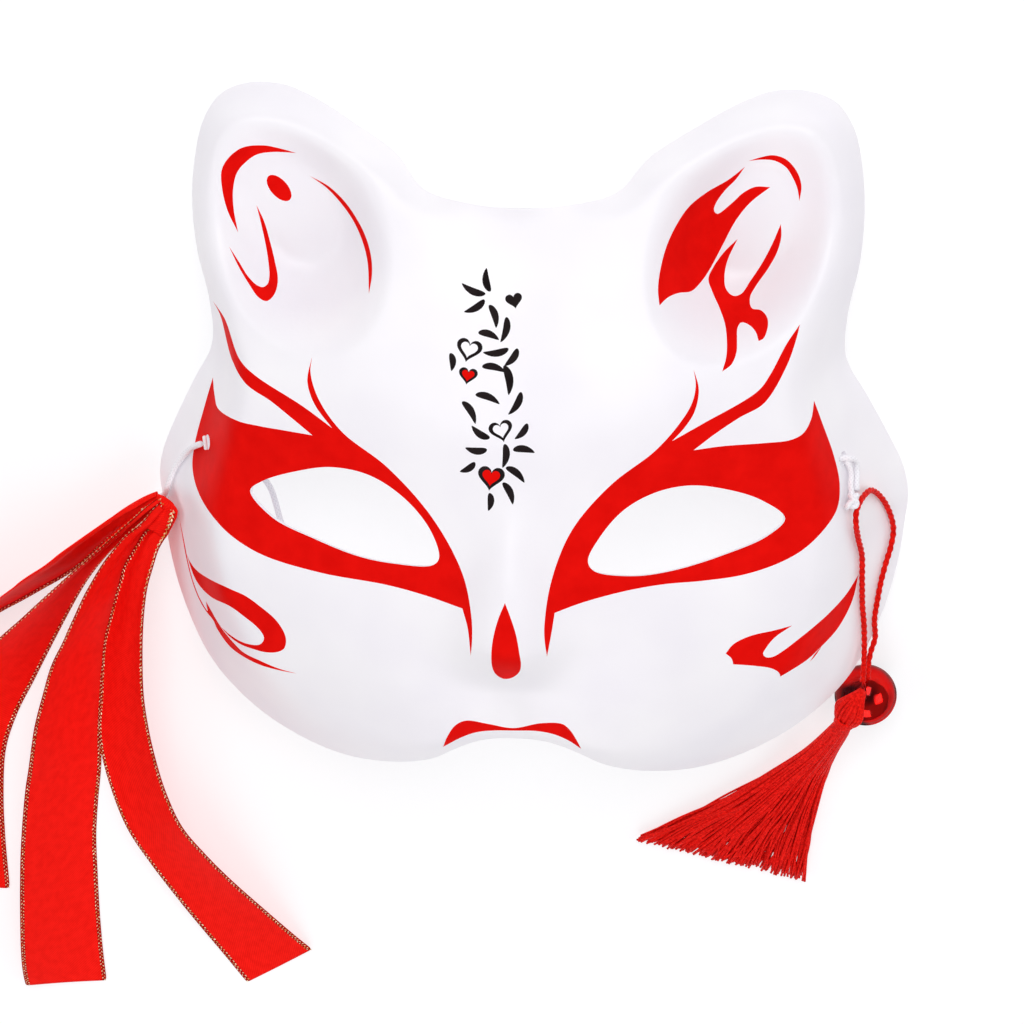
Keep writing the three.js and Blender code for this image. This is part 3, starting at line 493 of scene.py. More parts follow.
EDGE = back_edge()
EDGE_TREE = kdtree.KDTree(len(EDGE))
for number, place in enumerate(EDGE):
    EDGE_TREE.insert((place[0], place[1], 0), number)
EDGE_TREE.balance()
EDGE_DROPS = [front_height(ex, ey) - ez for ex, ey, ez, *_ in EDGE]


def edge_drop(x, y):
    """How far the side wall or flange falls from the front at a place."""
    _, number, distance = EDGE_TREE.find((x, y, 0))
    wall, flange = EDGE[number][3:]
    outward = min(max(1 - distance / wall, 0.0), 1.0)
    share = FLANGE_SHARE * min(max(flange, 0.0), 1.0)
    turned = share * smoothstep(outward, *FLANGE_TURN) + (1 - share) * outward * outward
    return EDGE_DROPS[number] * turned


def face_height(x, y):
    """Height of the shell's outer face, with its side walls."""
    return front_height(x, y) - edge_drop(x, y)


def soft_height(x, y):
    """The same height with the side wall's creases rounded off."""
    reach = min(EDGE_TREE.find((x, y, 0))[2], CREASE_REACH)
    total, weights = edge_drop(x, y), 1.0
    for share, weight in ((0.5, 0.8), (1, 0.4)):
        for k in range(6):
            a = (k + share) * math.tau / 6
            drop = edge_drop(x + reach * share * math.cos(a), y + reach * share * math.sin(a))
            total += weight * drop
            weights += weight
    return front_height(x, y) - total / weights


def face_normal(x, y):
    step = 0.3
    across = (face_height(x + step, y) - face_height(x - step, y)) / (2 * step)
    along = (face_height(x, y + step) - face_height(x, y - step)) / (2 * step)
    return Vector((-across, -along, 1)).normalized()


LYING = (
    Matrix.Translation((0, HINGE_Y - ORIGIN_Y, 0))
    @ Matrix.Rotation(-LEAN, 4, "X")
    @ Matrix.Translation((0, -HINGE_Y, 0))
)
TO_METRES = Matrix.Diagonal((MM, MM, MM, 1))


def on_face(x, y, lift):
    """A point lifted off the lying face, in metres."""
    return TO_METRES @ LYING @ (Vector((x, y, face_height(x, y))) + face_normal(x, y) * lift)


def lying(x, y, z):
    """A point over the floor, in metres."""
    return Vector((x, y - ORIGIN_Y, z)) * MM


def seen_at(px, py):
    """x and y in the face of what the camera sees at a pixel of the photograph."""
    eye = AIM + TOWARDS_CAMERA * DISTANCE
    ray = CAMERA_RIGHT * (px - IMAGE / 2) + CAMERA_UP * (IMAGE / 2 - py) - TOWARDS_CAMERA * FOCAL
    high, low = ((eye.z - height) / -ray.z for height in SEARCHED)
    before = high
    for k in range(1, SEARCH_STEPS + 1):
        now = mix(high, low, k / SEARCH_STEPS)
        spot = eye + ray * now
        if spot.z < face_height(spot.x, spot.y):
            break
        before = now
    for _ in range(14):
        middle = (before + now) / 2
        spot = eye + ray * middle
        if spot.z < face_height(spot.x, spot.y):
            now = middle
        else:
            before = middle
    spot = eye + ray * now
    return (spot.x, spot.y)


def dense(run, step):
    """A smooth open run resampled at an even step, without its last point."""
    fine = smooth_curve(run, 12, space=2)
    lengths = run_of(fine)
    count = max(2, round(lengths[-1] / step))
    wanted = np.linspace(0, lengths[-1], count + 1)[:-1]
    xs = np.interp(wanted, lengths, [p[0] for p in fine])
    ys = np.interp(wanted, lengths, [p[1] for p in fine])
    return list(zip(xs.tolist(), ys.tolist()))


def stroke_outline(points):
    """A closed outline with smooth sides between its sharp points, in pixels."""
    first = next(i for i, p in enumerate(points) if len(p) == 3)
    out, run = [], []
    for p in points[first:] + points[: first + 1]:
        run.append(p[:2])
        if len(p) == 3 and len(run) > 1:
            out += dense(run, OUTLINE_STEP)
            run = [p[:2]]
    return out


def turns(count):
    return [k / count * math.tau for k in range(count)]


def placed(x, y, turn, points):
    """Points moved to a place and turned by degrees."""
    c, s = math.cos(math.radians(turn)), math.sin(math.radians(turn))
    return [(x + u * c - v * s, y + u * s + v * c) for u, v in points]


def oval(x, y, half_long, half_wide, turn, count=24):
    ring = [(half_long * math.cos(a), half_wide * math.sin(a)) for a in turns(count)]
    return placed(x, y, turn, ring)


def heart(x, y, half, turn):
    ring = []
    for a in turns(40):
        high = 13 * math.cos(a) - 5 * math.cos(2 * a) - 2 * math.cos(3 * a) - math.cos(4 * a)
        ring.append((half * math.sin(a) ** 3, -half / 16 * high))
    return placed(x, y, turn, ring)


def dab(x, y, length, width, turn):
    """A brush dab, pointed at one end and bent a little."""
    ring = []
    for a in turns(22):
        along = math.cos(a)
        swell = (1 - along) ** 0.5 / 1.41
        bend = (along * along - 0.5) * length * 0.1
        ring.append((along * length / 2, math.sin(a) * width / 2 * (0.45 + 0.8 * swell) + bend))
    return placed(x, y, turn, ring)


# Small tools for meshes and materials


def deselect():
    for o in bpy.context.selected_objects:
        o.select_set(False)


def activate(o):
    deselect()
    o.select_set(True)
    bpy.context.view_layer.objects.active = o


def new_object(name, points, faces, materials=(), smooth=True):
    mesh = bpy.data.meshes.new(name)
    mesh.from_pydata([tuple(p) for p in points], [], faces)
    mesh.validate()
    o = bpy.data.objects.new(name, mesh)
    bpy.context.collection.objects.link(o)
    for m in materials:
        mesh.materials.append(m)
    if smooth:
        mesh.shade_smooth()
    return o


def fresh(*materials):
    """The primitive just added, with smooth faces and its materials."""
    bpy.ops.object.shade_smooth()
    for m in materials:
        bpy.context.object.data.materials.append(m)
    return bpy.context.object


def outward(o):
    """Faces the finished closed mesh outwards."""
    work = bmesh.new()
    work.from_mesh(o.data)
    bmesh.ops.remove_doubles(work, verts=work.verts, dist=1e-7)
    bmesh.ops.recalc_face_normals(work, faces=work.faces)
    if work.calc_volume(signed=True) < 0:
        bmesh.ops.reverse_faces(work, faces=work.faces)
    work.to_mesh(o.data)
    work.free()


def apply_modifiers(o):
    activate(o)
    for m in list(o.modifiers):
        bpy.ops.object.modifier_apply(modifier=m.name)


def join(name, parts):
    deselect()
    for p in parts:
        p.select_set(True)
    bpy.context.view_layer.objects.active = parts[0]
    bpy.ops.object.join()
    parts[0].name = name
    return parts[0]


def settle(o, nodes=()):
    """The finished piece rides on the one body, and stands for its solids."""
    activate(o)
    bpy.ops.object.transform_apply(location=True, rotation=True, scale=True)
    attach(o, "root")
    if nodes:
        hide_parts(*nodes)
    return o


def frames_along(path):
    """Tangent, side and up at each point of a path, without twist."""
    out = []
    side = None
    for i in range(len(path)):
        a, b = path[max(i - 1, 0)], path[min(i + 1, len(path) - 1)]
        way = (b - a).normalized()
        if side is None:
            side = way.cross(Vector((0, 0, 1)))
            if side.length < 1e-3:
                side = way.cross(Vector((1, 0, 0)))
        side = (side - way * side.dot(way)).normalized()
        out.append((way, side, side.cross(way).normalized()))
    return out


def even_path(points, step):
    """A smooth path in metres through the points, with steps of one length."""
    fine = smooth_curve([tuple(p) for p in points], 16)
    lengths = run_of(fine)
    count = max(4, round(lengths[-1] / step))
    wanted = np.linspace(0, lengths[-1], count + 1)
    cols = [np.interp(wanted, lengths, [p[k] for p in fine]) for k in range(3)]
    return [Vector(c) for c in zip(*cols)], lengths[-1]


def tube_points(path, radius, sides, lobes=0, lobe_depth=0.0, pitch=1.0):
    """Rings round a path. Lobes turn round it once in each pitch, as the plies of a cord."""
    rings = []
    for at, run, (_, side, up) in zip(path, run_of(path), frames_along(path)):
        ring = []
        for angle in turns(sides):
            r = radius
            if lobes:
                ply = abs(math.sin(lobes / 2 * (angle - run / pitch * math.tau)))
                r *= 1 - lobe_depth * ply ** 2.2
            ring.append(at + side * (math.cos(angle) * r) + up * (math.sin(angle) * r))
        rings.append(ring)
    return rings


def skin(rings, start=0):
    """Faces over rings of points, with both ends closed by a point each."""
    sides = len(rings[0])
    points = [p for ring in rings for p in ring]
    faces = []
    for r in range(len(rings) - 1):
        for k in range(sides):
            a, b = start + r * sides + k, start + r * sides + (k + 1) % sides
            faces.append((a, b, b + sides, a + sides))
    for r, flip in ((0, True), (len(rings) - 1, False)):
        at = start + len(points)
        points.append(sum(rings[r], Vector()) / sides)
        for k in range(sides):
            a, b = start + r * sides + k, start + r * sides + (k + 1) % sides
            faces.append((b, a, at) if flip else (a, b, at))
    return points, faces


def ring_solid(name, rings, run, materials, girth, start=0.0):
    """A closed solid through rings, with a UV map in metres: along it, and round it."""
    points, faces = skin(rings)
    sides = len(rings[0])
    o = new_object(name, points, faces, materials)
    uv = o.data.uv_layers.new(name="Along")
    for face in o.data.polygons:
        ks = [o.data.loops[n].vertex_index for n in face.loop_indices]
        last = any(k % sides == 0 for k in ks) and any(k % sides == sides - 1 for k in ks)
        for n, k in zip(face.loop_indices, ks):
            ring = min(k // sides, len(rings) - 1)
            turn = k % sides
            if last and turn == 0:
                turn = sides
            uv.data[n].uv = (run[ring], start + turn / sides * girth)
    outward(o)
    return o


def tube(name, path, radius, sides, materials, **lobes):
    """A closed tube along a path."""
    rings = tube_points(path, radius, sides, **lobes)
    return ring_solid(name, rings, run_of(path), materials, 5 * MM)


def add_node(tree, kind, settings=None, links=None):
    """Adds one node, sets its properties and inputs, and links what goes into it. A colour
    ramp's stops are places and hex colours."""
    n = tree.nodes.new(kind)
    for key, value in (settings or {}).items():
        if key == "stops":
            for stop, (place, colour) in zip(n.color_ramp.elements, value):
                stop.position = place
                stop.color = (*linear(colour), 1)
        elif isinstance(key, int) or key in n.inputs:
            n.inputs[key].default_value = value
        else:
            setattr(n, key, value)
    for key, source in (links or {}).items():
        tree.links.new(source, n.inputs[key])
    return n


def base_material(name, hex_colour, rough, glint=None, **sockets):
    """A plain material, whose glint is the colour of its reflections."""
    m = bpy.data.materials.new(name)
    m.use_nodes = True
    shader = m.node_tree.nodes["Principled BSDF"]
    shader.inputs["Base Color"].default_value = (*linear(hex_colour), 1)
    shader.inputs["Roughness"].default_value = rough
    if glint:
        shader.inputs["Specular Tint"].default_value = (*linear(glint), 1)
    for key, value in sockets.items():
        shader.inputs[key.replace("_", " ")].default_value = value
    return m, m.node_tree, shader


def vary(tree, shader, pattern, colours=None, relief=None):
    """Lets a pattern vary a finish: its colour between two stops, and its relief by a depth
    and strength."""
    if colours:
        colour = add_node(tree, "ShaderNodeValToRGB", {"stops": colours}, {"Fac": pattern})
        tree.links.new(colour.outputs["Color"], shader.inputs["Base Color"])
    if relief:
        settings = {"Distance": relief[0], "Strength": relief[1]}
        raised = add_node(tree, "ShaderNodeBump", settings, {"Height": pattern})
        tree.links.new(raised.outputs["Normal"], shader.inputs["Normal"])


def mottle(tree, shader, size, detail, colours=None, relief=None):
    """Varies a finish by lumps of one size in metres, all through the piece."""
    place = add_node(tree, "ShaderNodeTexCoord")
    settings = {"Scale": 1 / size, "Detail": detail}
    lumps = add_node(tree, "ShaderNodeTexNoise", settings, {"Vector": place.outputs["Object"]})
    vary(tree, shader, lumps.outputs["Fac"], colours, relief)


def moulded_plastic():
    """White polyvinyl sheet formed over a mould: a soft matte white with a fine orange peel,
    which keeps the highlights broad."""
    m, tree, shader = base_material("moulded_white_pvc", "F3F1F5", 0.46, IOR=1.52)
    mottle(tree, shader, 0.9 * MM, 3.0, relief=(0.03 * MM, 0.5))
    mottle(tree, shader, 28 * MM, 2.0, ((0.3, "F0EDF3"), (0.7, "F7F5F8")))
    return m


def inner_plastic():
    """The same sheet from behind, with the slight gloss of the side that met no mould."""
    m, tree, shader = base_material("inner_white_pvc", "EFEDF1", 0.34, IOR=1.52)
    mottle(tree, shader, 9 * MM, 2.0, ((0.3, "ECE9EF"), (0.7, "F4F2F6")), (0.12 * MM, 0.35))
    return m


def printing_ink(name, low, high, rough):
    """Solvent ink from a brush and stencil: flat colour that is a little denser in places."""
    m, tree, shader = base_material(name, high, rough, high, Specular_IOR_Level=0.008)
    mottle(tree, shader, 5 * MM, 4.0, ((0.3, low), (0.7, high)))
    mottle(tree, shader, 0.8 * MM, 2.0, relief=(0.03 * MM, 0.5))
    return m


def satin_cloth():
    """Polyester satin: a fine diagonal weave in a soft red, whose edges are overlocked in a
    darker red under the gold thread."""
    m, tree, shader = base_material(
        "woven_red_satin", "F01810", 0.5, "FF5040", Specular_IOR_Level=0.02
    )
    place = add_node(tree, "ShaderNodeUVMap", {"uv_map": "Along"}).outputs["UV"]
    # Twill lines, drawn coarse enough to show, over slubs in the yarn
    turned = add_node(tree, "ShaderNodeMapping", {"Rotation": (0, 0, 0.75)}, {"Vector": place})
    loose = {"Distortion": 1.2, "Detail": 2.0, "Detail Scale": 3.0}
    twill = add_node(
        tree, "ShaderNodeTexWave", {"Scale": WAVE_PERIOD / (TWILL_PITCH * MM), **loose},
        {"Vector": turned.outputs[0]},
    )
    slubs = add_node(
        tree, "ShaderNodeTexNoise", {"Scale": 1 / (SLUB_PITCH * MM), "Detail": 3.0},
        {"Vector": place},
    )
    weave = add_node(
        tree, "ShaderNodeMath", {"operation": "MULTIPLY_ADD", 1: 0.45},
        {0: twill.outputs["Fac"], 2: slubs.outputs["Fac"]},
    )
    cloth = add_node(
        tree, "ShaderNodeValToRGB", {"stops": ((0.35, "E8140E"), (1, "FC2018"))},
        {"Fac": weave.outputs[0]},
    )
    # Overlocking, in close stitches of a darker thread
    half = RIBBON_WIDTH / 2
    split = add_node(tree, "ShaderNodeSeparateXYZ", {}, {"Vector": place})
    middle = add_node(
        tree, "ShaderNodeMath", {"operation": "SUBTRACT", 1: half * MM}, {0: split.outputs["Y"]}
    )
    away = add_node(tree, "ShaderNodeMath", {"operation": "ABSOLUTE"}, {0: middle.outputs[0]})
    edge = add_node(
        tree, "ShaderNodeMapRange",
        {"From Min": (half - OVERLOCK[0]) * MM, "From Max": (half - OVERLOCK[1]) * MM},
        {"Value": away.outputs[0]},
    )
    stitches = add_node(
        tree, "ShaderNodeTexVoronoi", {"Scale": 1 / (OVERLOCK_PITCH * MM)}, {"Vector": place}
    )
    thread = add_node(
        tree, "ShaderNodeValToRGB", {"stops": ((0, "8A100E"), (1, "C41C14"))},
        {"Fac": stitches.outputs["Distance"]},
    )
    colour = add_node(
        tree, "ShaderNodeMix", {"data_type": "RGBA"},
        {"Factor": edge.outputs[0], 6: cloth.outputs["Color"], 7: thread.outputs["Color"]},
    )
    tree.links.new(colour.outputs[2], shader.inputs["Base Color"])
    vary(tree, shader, weave.outputs[0], relief=(0.05 * MM, 0.3))
    return m


def gold_thread():
    """Metallised film thread: flat facets, with glints and shade painted in as a gold mottle."""
    m, tree, shader = base_material("gold_film_thread", "FFE4A6", 0.3, Metallic=0.2)
    # Fine mottle from dark gold to near-white gold: painted glints and painted shade on the facets
    mottle(tree, shader, 0.8 * MM, 1.0, ((0.4, "D8983C"), (0.54, "FFF2C8")))
    return m


def braided_elastic():
    """Polyester braided round latex: dull white, with the ribs of the braid crossing it."""
    m, tree, shader = base_material("braided_white_elastic", "ECEAEE", 0.8)
    place = add_node(tree, "ShaderNodeUVMap", {"uv_map": "Along"}).outputs["UV"]
    settings = {"Scale": WAVE_PERIOD / (BRAID_PITCH * MM), "Distortion": 0.3}
    ribs = []
    for turn in (0.9, -0.9):
        turned = add_node(tree, "ShaderNodeMapping", {"Rotation": (0, 0, turn)}, {"Vector": place})
        ribs.append(
            add_node(tree, "ShaderNodeTexWave", settings, {"Vector": turned.outputs[0]})
        )
    crossed = add_node(
        tree, "ShaderNodeMath", {"operation": "MAXIMUM"},
        {0: ribs[0].outputs["Fac"], 1: ribs[1].outputs["Fac"]},
    )
    colours = ((0.1, "E6E4EA"), (0.8, "F6F4F8"))
    vary(tree, shader, crossed.outputs[0], colours, (0.05 * MM, 0.5))
    return m


def rayon(name, low, high):
    """Twisted rayon thread: silky, with a fine mottle of lighter and darker red and a matching
    relief.
    """
    m, tree, shader = base_material(name, high, 0.5, "FF4030", Specular_IOR_Level=0.2)
    mottle(tree, shader, 0.6 * MM, 2.0, ((0.35, low), (0.65, high)), (0.05 * MM, 0.4))
    return m


def lacquered_metal():
    """Thin brass under clear red lacquer, a mirror with dents from the press. Its colour runs in
    broad patches from near-black red to bright red, as painted reflections of light and dark."""
    m, tree, shader = base_material(
        "red_lacquered_brass", "84060A", 0.12, "A02018", Metallic=1.0, Coat_Weight=0.15,
        Coat_Roughness=0.04,
    )
    mottle(tree, shader, 4.5 * MM, 1.0, relief=(0.5 * MM, 0.6))
    # Broad patches of near-black and bright red: painted reflections of a light and a dark surround
    mottle(tree, shader, 7 * MM, 1.0, ((0.42, "3E0307"), (0.6, "D8140F")))
    return m


def shaded_inside_metal():
    """Brass inside the bell and its pellet, dull, coloured near-black red as painted shade."""
    m, tree, shader = base_material("bell_inside_painted_shade", "2A0606", 0.5, Metallic=0.6)
    # Near-black reds: painted shade of the bell's hollow inside
    mottle(tree, shader, 0.8 * MM, 2.0, ((0.3, "1C0404"), (0.7, "3A0A08")))
    return m


def plain_plastic():
    """A moulded nylon end bar, slightly glossy."""
    m, tree, shader = base_material("moulded_white_nylon", "EDEDEF", 0.35, IOR=1.53)
    mottle(tree, shader, 0.5 * MM, 2.0, ((0.3, "E6E6EA"), (0.7, "F2F2F4")), (0.02 * MM, 0.4))
    return m


class MaskSizes(bpy.types.PropertyGroup):
    """Sizes of the mask that a user would change."""

    wall: FloatProperty(
        name="Wall", description="Thickness of the moulded shell", default=1.2 * MM, unit="LENGTH"
    )
    grain: FloatProperty(
        name="Mesh step", description="Distance between the shell's points", default=1.15 * MM,
        unit="LENGTH",
    )
    elastic: FloatProperty(
        name="Elastic", description="Diameter of the elastic", default=1.5 * MM, unit="LENGTH"
    )
    cord: FloatProperty(
        name="Red cord", description="Diameter of the tassel's cord", default=1.4 * MM, unit="LENGTH"
    )
    floor: FloatVectorProperty(
        name="Floor colour", description="Colour of the floor", subtype="COLOR",
        default=linear("FAFAFB"), min=0, max=1,
    )


def add_camera(context):
    camera = bpy.data.cameras.new("camera")
    camera.sensor_width = 36
    camera.lens = camera.sensor_width * FOCAL / IMAGE
    camera.clip_end = 20
    eye = bpy.data.objects.new("camera", camera)
    context.collection.objects.link(eye)
    axes = Matrix((CAMERA_RIGHT, CAMERA_UP, TOWARDS_CAMERA)).transposed()
    place = Matrix.Translation(TO_METRES @ LYING @ (AIM + TOWARDS_CAMERA * DISTANCE))
    eye.matrix_world = place @ (LYING.to_3x3() @ axes).to_4x4()
    context.scene.camera = eye


def add_floor(context):
    m, _, shader = base_material("matte_paper", "FAFAFB", 0.95, Specular_IOR_Level=0.1)
    colour = context.scene.fox_mask_sizes.floor
    dimmed = [part * FLOOR_SHARE for part in colour]
    shader.inputs["Base Color"].default_value = (*dimmed, 1)
    shader.inputs["Emission Color"].default_value = (*colour, 1)
    shader.inputs["Emission Strength"].default_value = FLOOR_GLOW
    deselect()
    bpy.ops.mesh.primitive_plane_add(size=8)
    floor = fresh(m)
    floor.name = "floor"


def add_light(context):
    world = bpy.data.worlds.new("studio")
    context.scene.world = world
    world.use_nodes = True
    back = world.node_tree.nodes["Background"]
    back.inputs["Color"].default_value = (*linear("FDFBFF"), 1)
    back.inputs["Strength"].default_value = ROOM_LIGHT
    for name, (place, size, power) in LIGHTS.items():
        light = bpy.data.lights.new(name, "AREA")
        light.size = size
        light.energy = power
        o = bpy.data.objects.new(name, light)
        context.collection.objects.link(o)
        o.location = place
        o.rotation_mode = "QUATERNION"
        o.rotation_quaternion = Vector(place).to_track_quat("Z", "Y")


class MASK_OT_stage(bpy.types.Operator):
    """Makes the camera, the floor and the soft studio light"""

    bl_idname = "fox_mask.stage"
    bl_label = "Stage"

    def execute(self, context):
        add_camera(context)
        add_floor(context)
        add_light(context)
        context.scene.view_settings.view_transform = "Standard"
        return {"FINISHED"}


def elastic_knot(radius, braid):
    """An overhand knot: a three-lobed loop, the strand back to the hole and a short end."""
    middle = on_face(*STRAP_KNOT)
    turn = (LYING.to_3x3() @ face_normal(*STRAP_KNOT[:2])).to_track_quat("Z", "Y")
    loop = []
    for a in [*turns(48), math.tau]:
        x, y = math.sin(a) + 2 * math.sin(2 * a), math.cos(a) - 2 * math.cos(2 * a)
        loop.append(middle + turn @ (Vector((x, y, -math.sin(3 * a))) * KNOT_SIZE * MM))
    parts = [tube("knot", loop, radius * 0.9, 10, [braid])]
    for route, step in ((KNOT_STRAND, 0.8 * MM), (KNOT_END, 0.6 * MM)):
        strand, _ = even_path([on_face(*p) for p in route], step)
        parts.append(tube("strand", strand, radius * 0.9, 10, [braid]))
    return settle(join("elastic_knot", parts), ["strap_knot"])


def elastic_bar():
    deselect()
    bpy.ops.mesh.primitive_cylinder_add(
        vertices=20, radius=BAR_RADIUS * MM, depth=BAR_LENGTH * MM,
        location=on_face(*STRAP_BAR), rotation=(math.radians(90), 0, math.radians(4)),
    )
    bar = fresh(plain_plastic())
    bevel = bar.modifiers.new("round", "BEVEL")
    bevel.width, bevel.segments = 0.35 * MM, 4
    apply_modifiers(bar)
    bar.data.shade_smooth()
    bar.name = "elastic_bar"
    return settle(bar, ["strap_bar"])


class MASK_OT_elastic(bpy.types.Operator):
    """Makes the elastic, its end bar and its knot"""

    bl_idname = "fox_mask.elastic"
    bl_label = "Elastic"

    def execute(self, context):
        radius = context.scene.fox_mask_sizes.elastic / 2
        braid = braided_elastic()
        points = [on_face(*p) for p in STRAP_OUTSIDE_LEFT] + [lying(*p) for p in STRAP_FLOOR]
        points += [on_face(*p) for p in STRAP_OUTSIDE_RIGHT]
        path, length = even_path(points, 1.2 * MM)
        strap = tube("elastic", path, radius, 12, [braid])
        settle(strap, ["strap_cord"])
        knot = elastic_knot(radius, braid)
        bar = elastic_bar()
        return {"FINISHED"}


def shell_rings(step):
    """Closed rings that the shell's mesh keeps, by name, and the colours of printed ones."""
    rim = [tuple(p[:2]) for p in EDGE[::12]]
    rings = {"rim": dense(rim + rim[:1], step * 0.8)}
    for name, outline in (("left_hole", LEFT_EYE), ("right_hole", RIGHT_EYE)):
        ring = [tuple(p[:2]) for p in smooth_curve(outline, 12, closed=True, space=2)]
        rings[name] = dense(ring + ring[:1], 0.6)
    for name, side in (("left_tie", -1), ("right_tie", 1)):
        rings[name] = oval(
            side * HOLE_X, HOLE_Y, HOLE_RADIUS * HOLE_NARROWING, HOLE_RADIUS, 0, 16
        )
    prints = [(name, stroke_outline(points), "red") for name, points in RED_STROKES.items()]
    prints.append(("ear_dot", oval(*EAR_DOT), "red"))
    for k, (x, y, half, turned, inside) in enumerate(HEARTS):
        prints.append((f"heart_{k}", heart(x, y, half, turned), "black"))
        if inside:
            small = heart(x, y, half * INNER_HEART, turned)
            prints.append((f"heart_in_{k}", small, inside))
    prints += [(f"dab_{k}", dab(*d), "black") for k, d in enumerate(DABS)]
    for name, outline, _ in prints:
        rings[name] = [seen_at(*p) for p in outline]
    return rings, {name: colour for name, _, colour in prints}


def inside_ring(points, ring):
    """Which points lie inside a closed ring, by counting its crossings to the right."""
    inside = np.zeros(len(points), bool)
    near = ((points > ring.min(axis=0)) & (points < ring.max(axis=0))).all(axis=1)
    px, py = points[near].T
    found = np.zeros(len(px), bool)
    for (ax, ay), (bx, by) in zip(ring, np.roll(ring, -1, axis=0)):
        crosses = (ay > py) != (by > py)
        if crosses.any():
            at = ax + (py - ay) / (by - ay if by != ay else 1e-12) * (bx - ax)
            found ^= crosses & (px < at)
    inside[near] = found
    return inside


def in_sheet(points, rings):
    """Which points lie inside the rim and outside the openings."""
    inside = inside_ring(points, rings["rim"])
    for name in OPENINGS:
        inside &= ~inside_ring(points, rings[name])
    return inside


def grid_between(places, step):
    """Points in rows of even triangles that keep clear of the rings' points."""
    tree = kdtree.KDTree(len(places))
    for i, p in enumerate(places):
        tree.insert((p[0], p[1], 0), i)
    tree.balance()
    grid = []
    high = step * TRIANGLE
    rows, columns = round(SHEET_Y[1] / high), round(SHEET_X / step) + 1
    for j in range(-rows, rows):
        for i in range(-columns, columns):
            x, y = (i + 0.5 * (j % 2)) * step, j * high + ROW_Y
            inside = abs(x) < SHEET_X and SHEET_Y[0] < y < SHEET_Y[1]
            if inside and tree.find((x, y, 0))[2] > step * CLEARANCE:
                grid.append((x, y))
    return np.array(grid)


def shell_sheet(step):
    """The shell's mesh seen from above: points, faces and the ink on each face."""
    rings, colours = shell_rings(step)
    places, edges = [], []
    for ring in rings.values():
        at, count = len(places), len(ring)
        places += [Vector(p) for p in ring]
        edges += [(at + i, at + (i + 1) % count) for i in range(count)]
    rings = {name: np.array(ring, float) for name, ring in rings.items()}
    grid = grid_between(places, step)
    places += [Vector(p) for p in grid[in_sheet(grid, rings)].tolist()]
    flat, _, faces, *_ = delaunay_2d_cdt(places, edges, [], 0, 1e-5)
    flat = np.array([tuple(p) for p in flat])
    faces = np.array([tuple(f) for f in faces])
    middles = flat[faces].mean(axis=1)
    keep = in_sheet(middles, rings)
    faces, middles = faces[keep], middles[keep]
    ink = np.zeros(len(faces), np.int32)
    for name, colour in colours.items():
        ink[inside_ring(middles, rings[name])] = INKS.index(colour)
    return flat.tolist(), faces.tolist(), ink


class MASK_OT_shell(bpy.types.Operator):
    """Makes the moulded shell with its printed strokes"""

    bl_idname = "fox_mask.shell"
    bl_label = "Shell"

    def execute(self, context):
        sizes = context.scene.fox_mask_sizes
        flat, faces, ink = shell_sheet(sizes.grain / MM)
        points = [(x, y, soft_height(x, y)) for x, y in flat]
        red = printing_ink("red_solvent_ink", "DC0E0A", "E8120D", 0.4)
        black = printing_ink("black_solvent_ink", "1C1718", "2B2425", 0.45)
        looks = [moulded_plastic(), red, black, inner_plastic()]
        shell = new_object("mask_shell_moulding", points, faces, looks)
        shell.data.polygons.foreach_set("material_index", ink)
        work = bmesh.new()
        work.from_mesh(shell.data)
        loose = [v for v in work.verts if not v.link_faces]
        bmesh.ops.delete(work, geom=loose, context="VERTS")
        work.to_mesh(shell.data)
        work.free()
        shell.data.transform(TO_METRES @ LYING)
        fronts = len(shell.data.polygons)
        wall = shell.modifiers.new("wall", "SOLIDIFY")
        wall.thickness, wall.offset, wall.use_even_offset = sizes.wall, -1, True
        apply_modifiers(shell)
        colours = np.zeros(len(shell.data.polygons), np.int32)
        shell.data.polygons.foreach_get("material_index", colours)
        colours[fronts:] = len(looks) - 1
        shell.data.polygons.foreach_set("material_index", colours)
        # The rim is cut square, and the lying mask rests on it
        for v in shell.data.vertices:
            v.co.z = max(v.co.z, 0.0)
        activate(shell)
        bpy.ops.object.shade_smooth_by_angle(angle=math.radians(50))
        settle(shell, ["mask_shell"])
        return {"FINISHED"}


def ribbon_rows(keys, folds, folded):
    """Rows of points across a ribbon, the way up from each row, and the run along them."""
    rows = smooth_curve(keys, 7)
    run = run_of([row[:3] for row in rows])
    lines, ups = [], []
    for i, row in enumerate(rows):
        a, b = rows[max(i - 1, 0)], rows[min(i + 1, len(rows) - 1)]
        way = Vector((b - a)[:3]).normalized()
        flat = Vector((way.y, -way.x, 0)).normalized()
        raised = flat.cross(way)
        width, tilt = min(row[3], RIBBON_WIDTH), math.radians(row[4])
        side = flat * math.cos(tilt) + raised * math.sin(tilt)
        up = raised * math.cos(tilt) - flat * math.sin(tilt)
        slack = (RIBBON_WIDTH - width) / RIBBON_WIDTH
        line = []
        for k in range(RIBBON_COLUMNS + 1):
            v = k / RIBBON_COLUMNS
            arch = math.sin(math.pi * v)
            pleat = slack * PLEAT * math.sin(3 * math.pi * v + folds) * arch ** 0.5
            sag = SAG * abs(math.sin(tilt)) * arch
            if folded:
                sag += FOLD_SAG * width / RIBBON_WIDTH * smoothstep(v, 0, 0.1)
            ripple = RIPPLE * math.sin(run[i] / RIPPLE_RUN + folds * 2) * arch * (1 - slack)
            spot = Vector(row[:3]) + side * (v * width) + up * (pleat - sag + ripple)
            spot.z = max(spot.z, 0.2)
            line.append(lying(*spot))
        lines.append(line)
        ups.append(up)
    return lines, ups, run


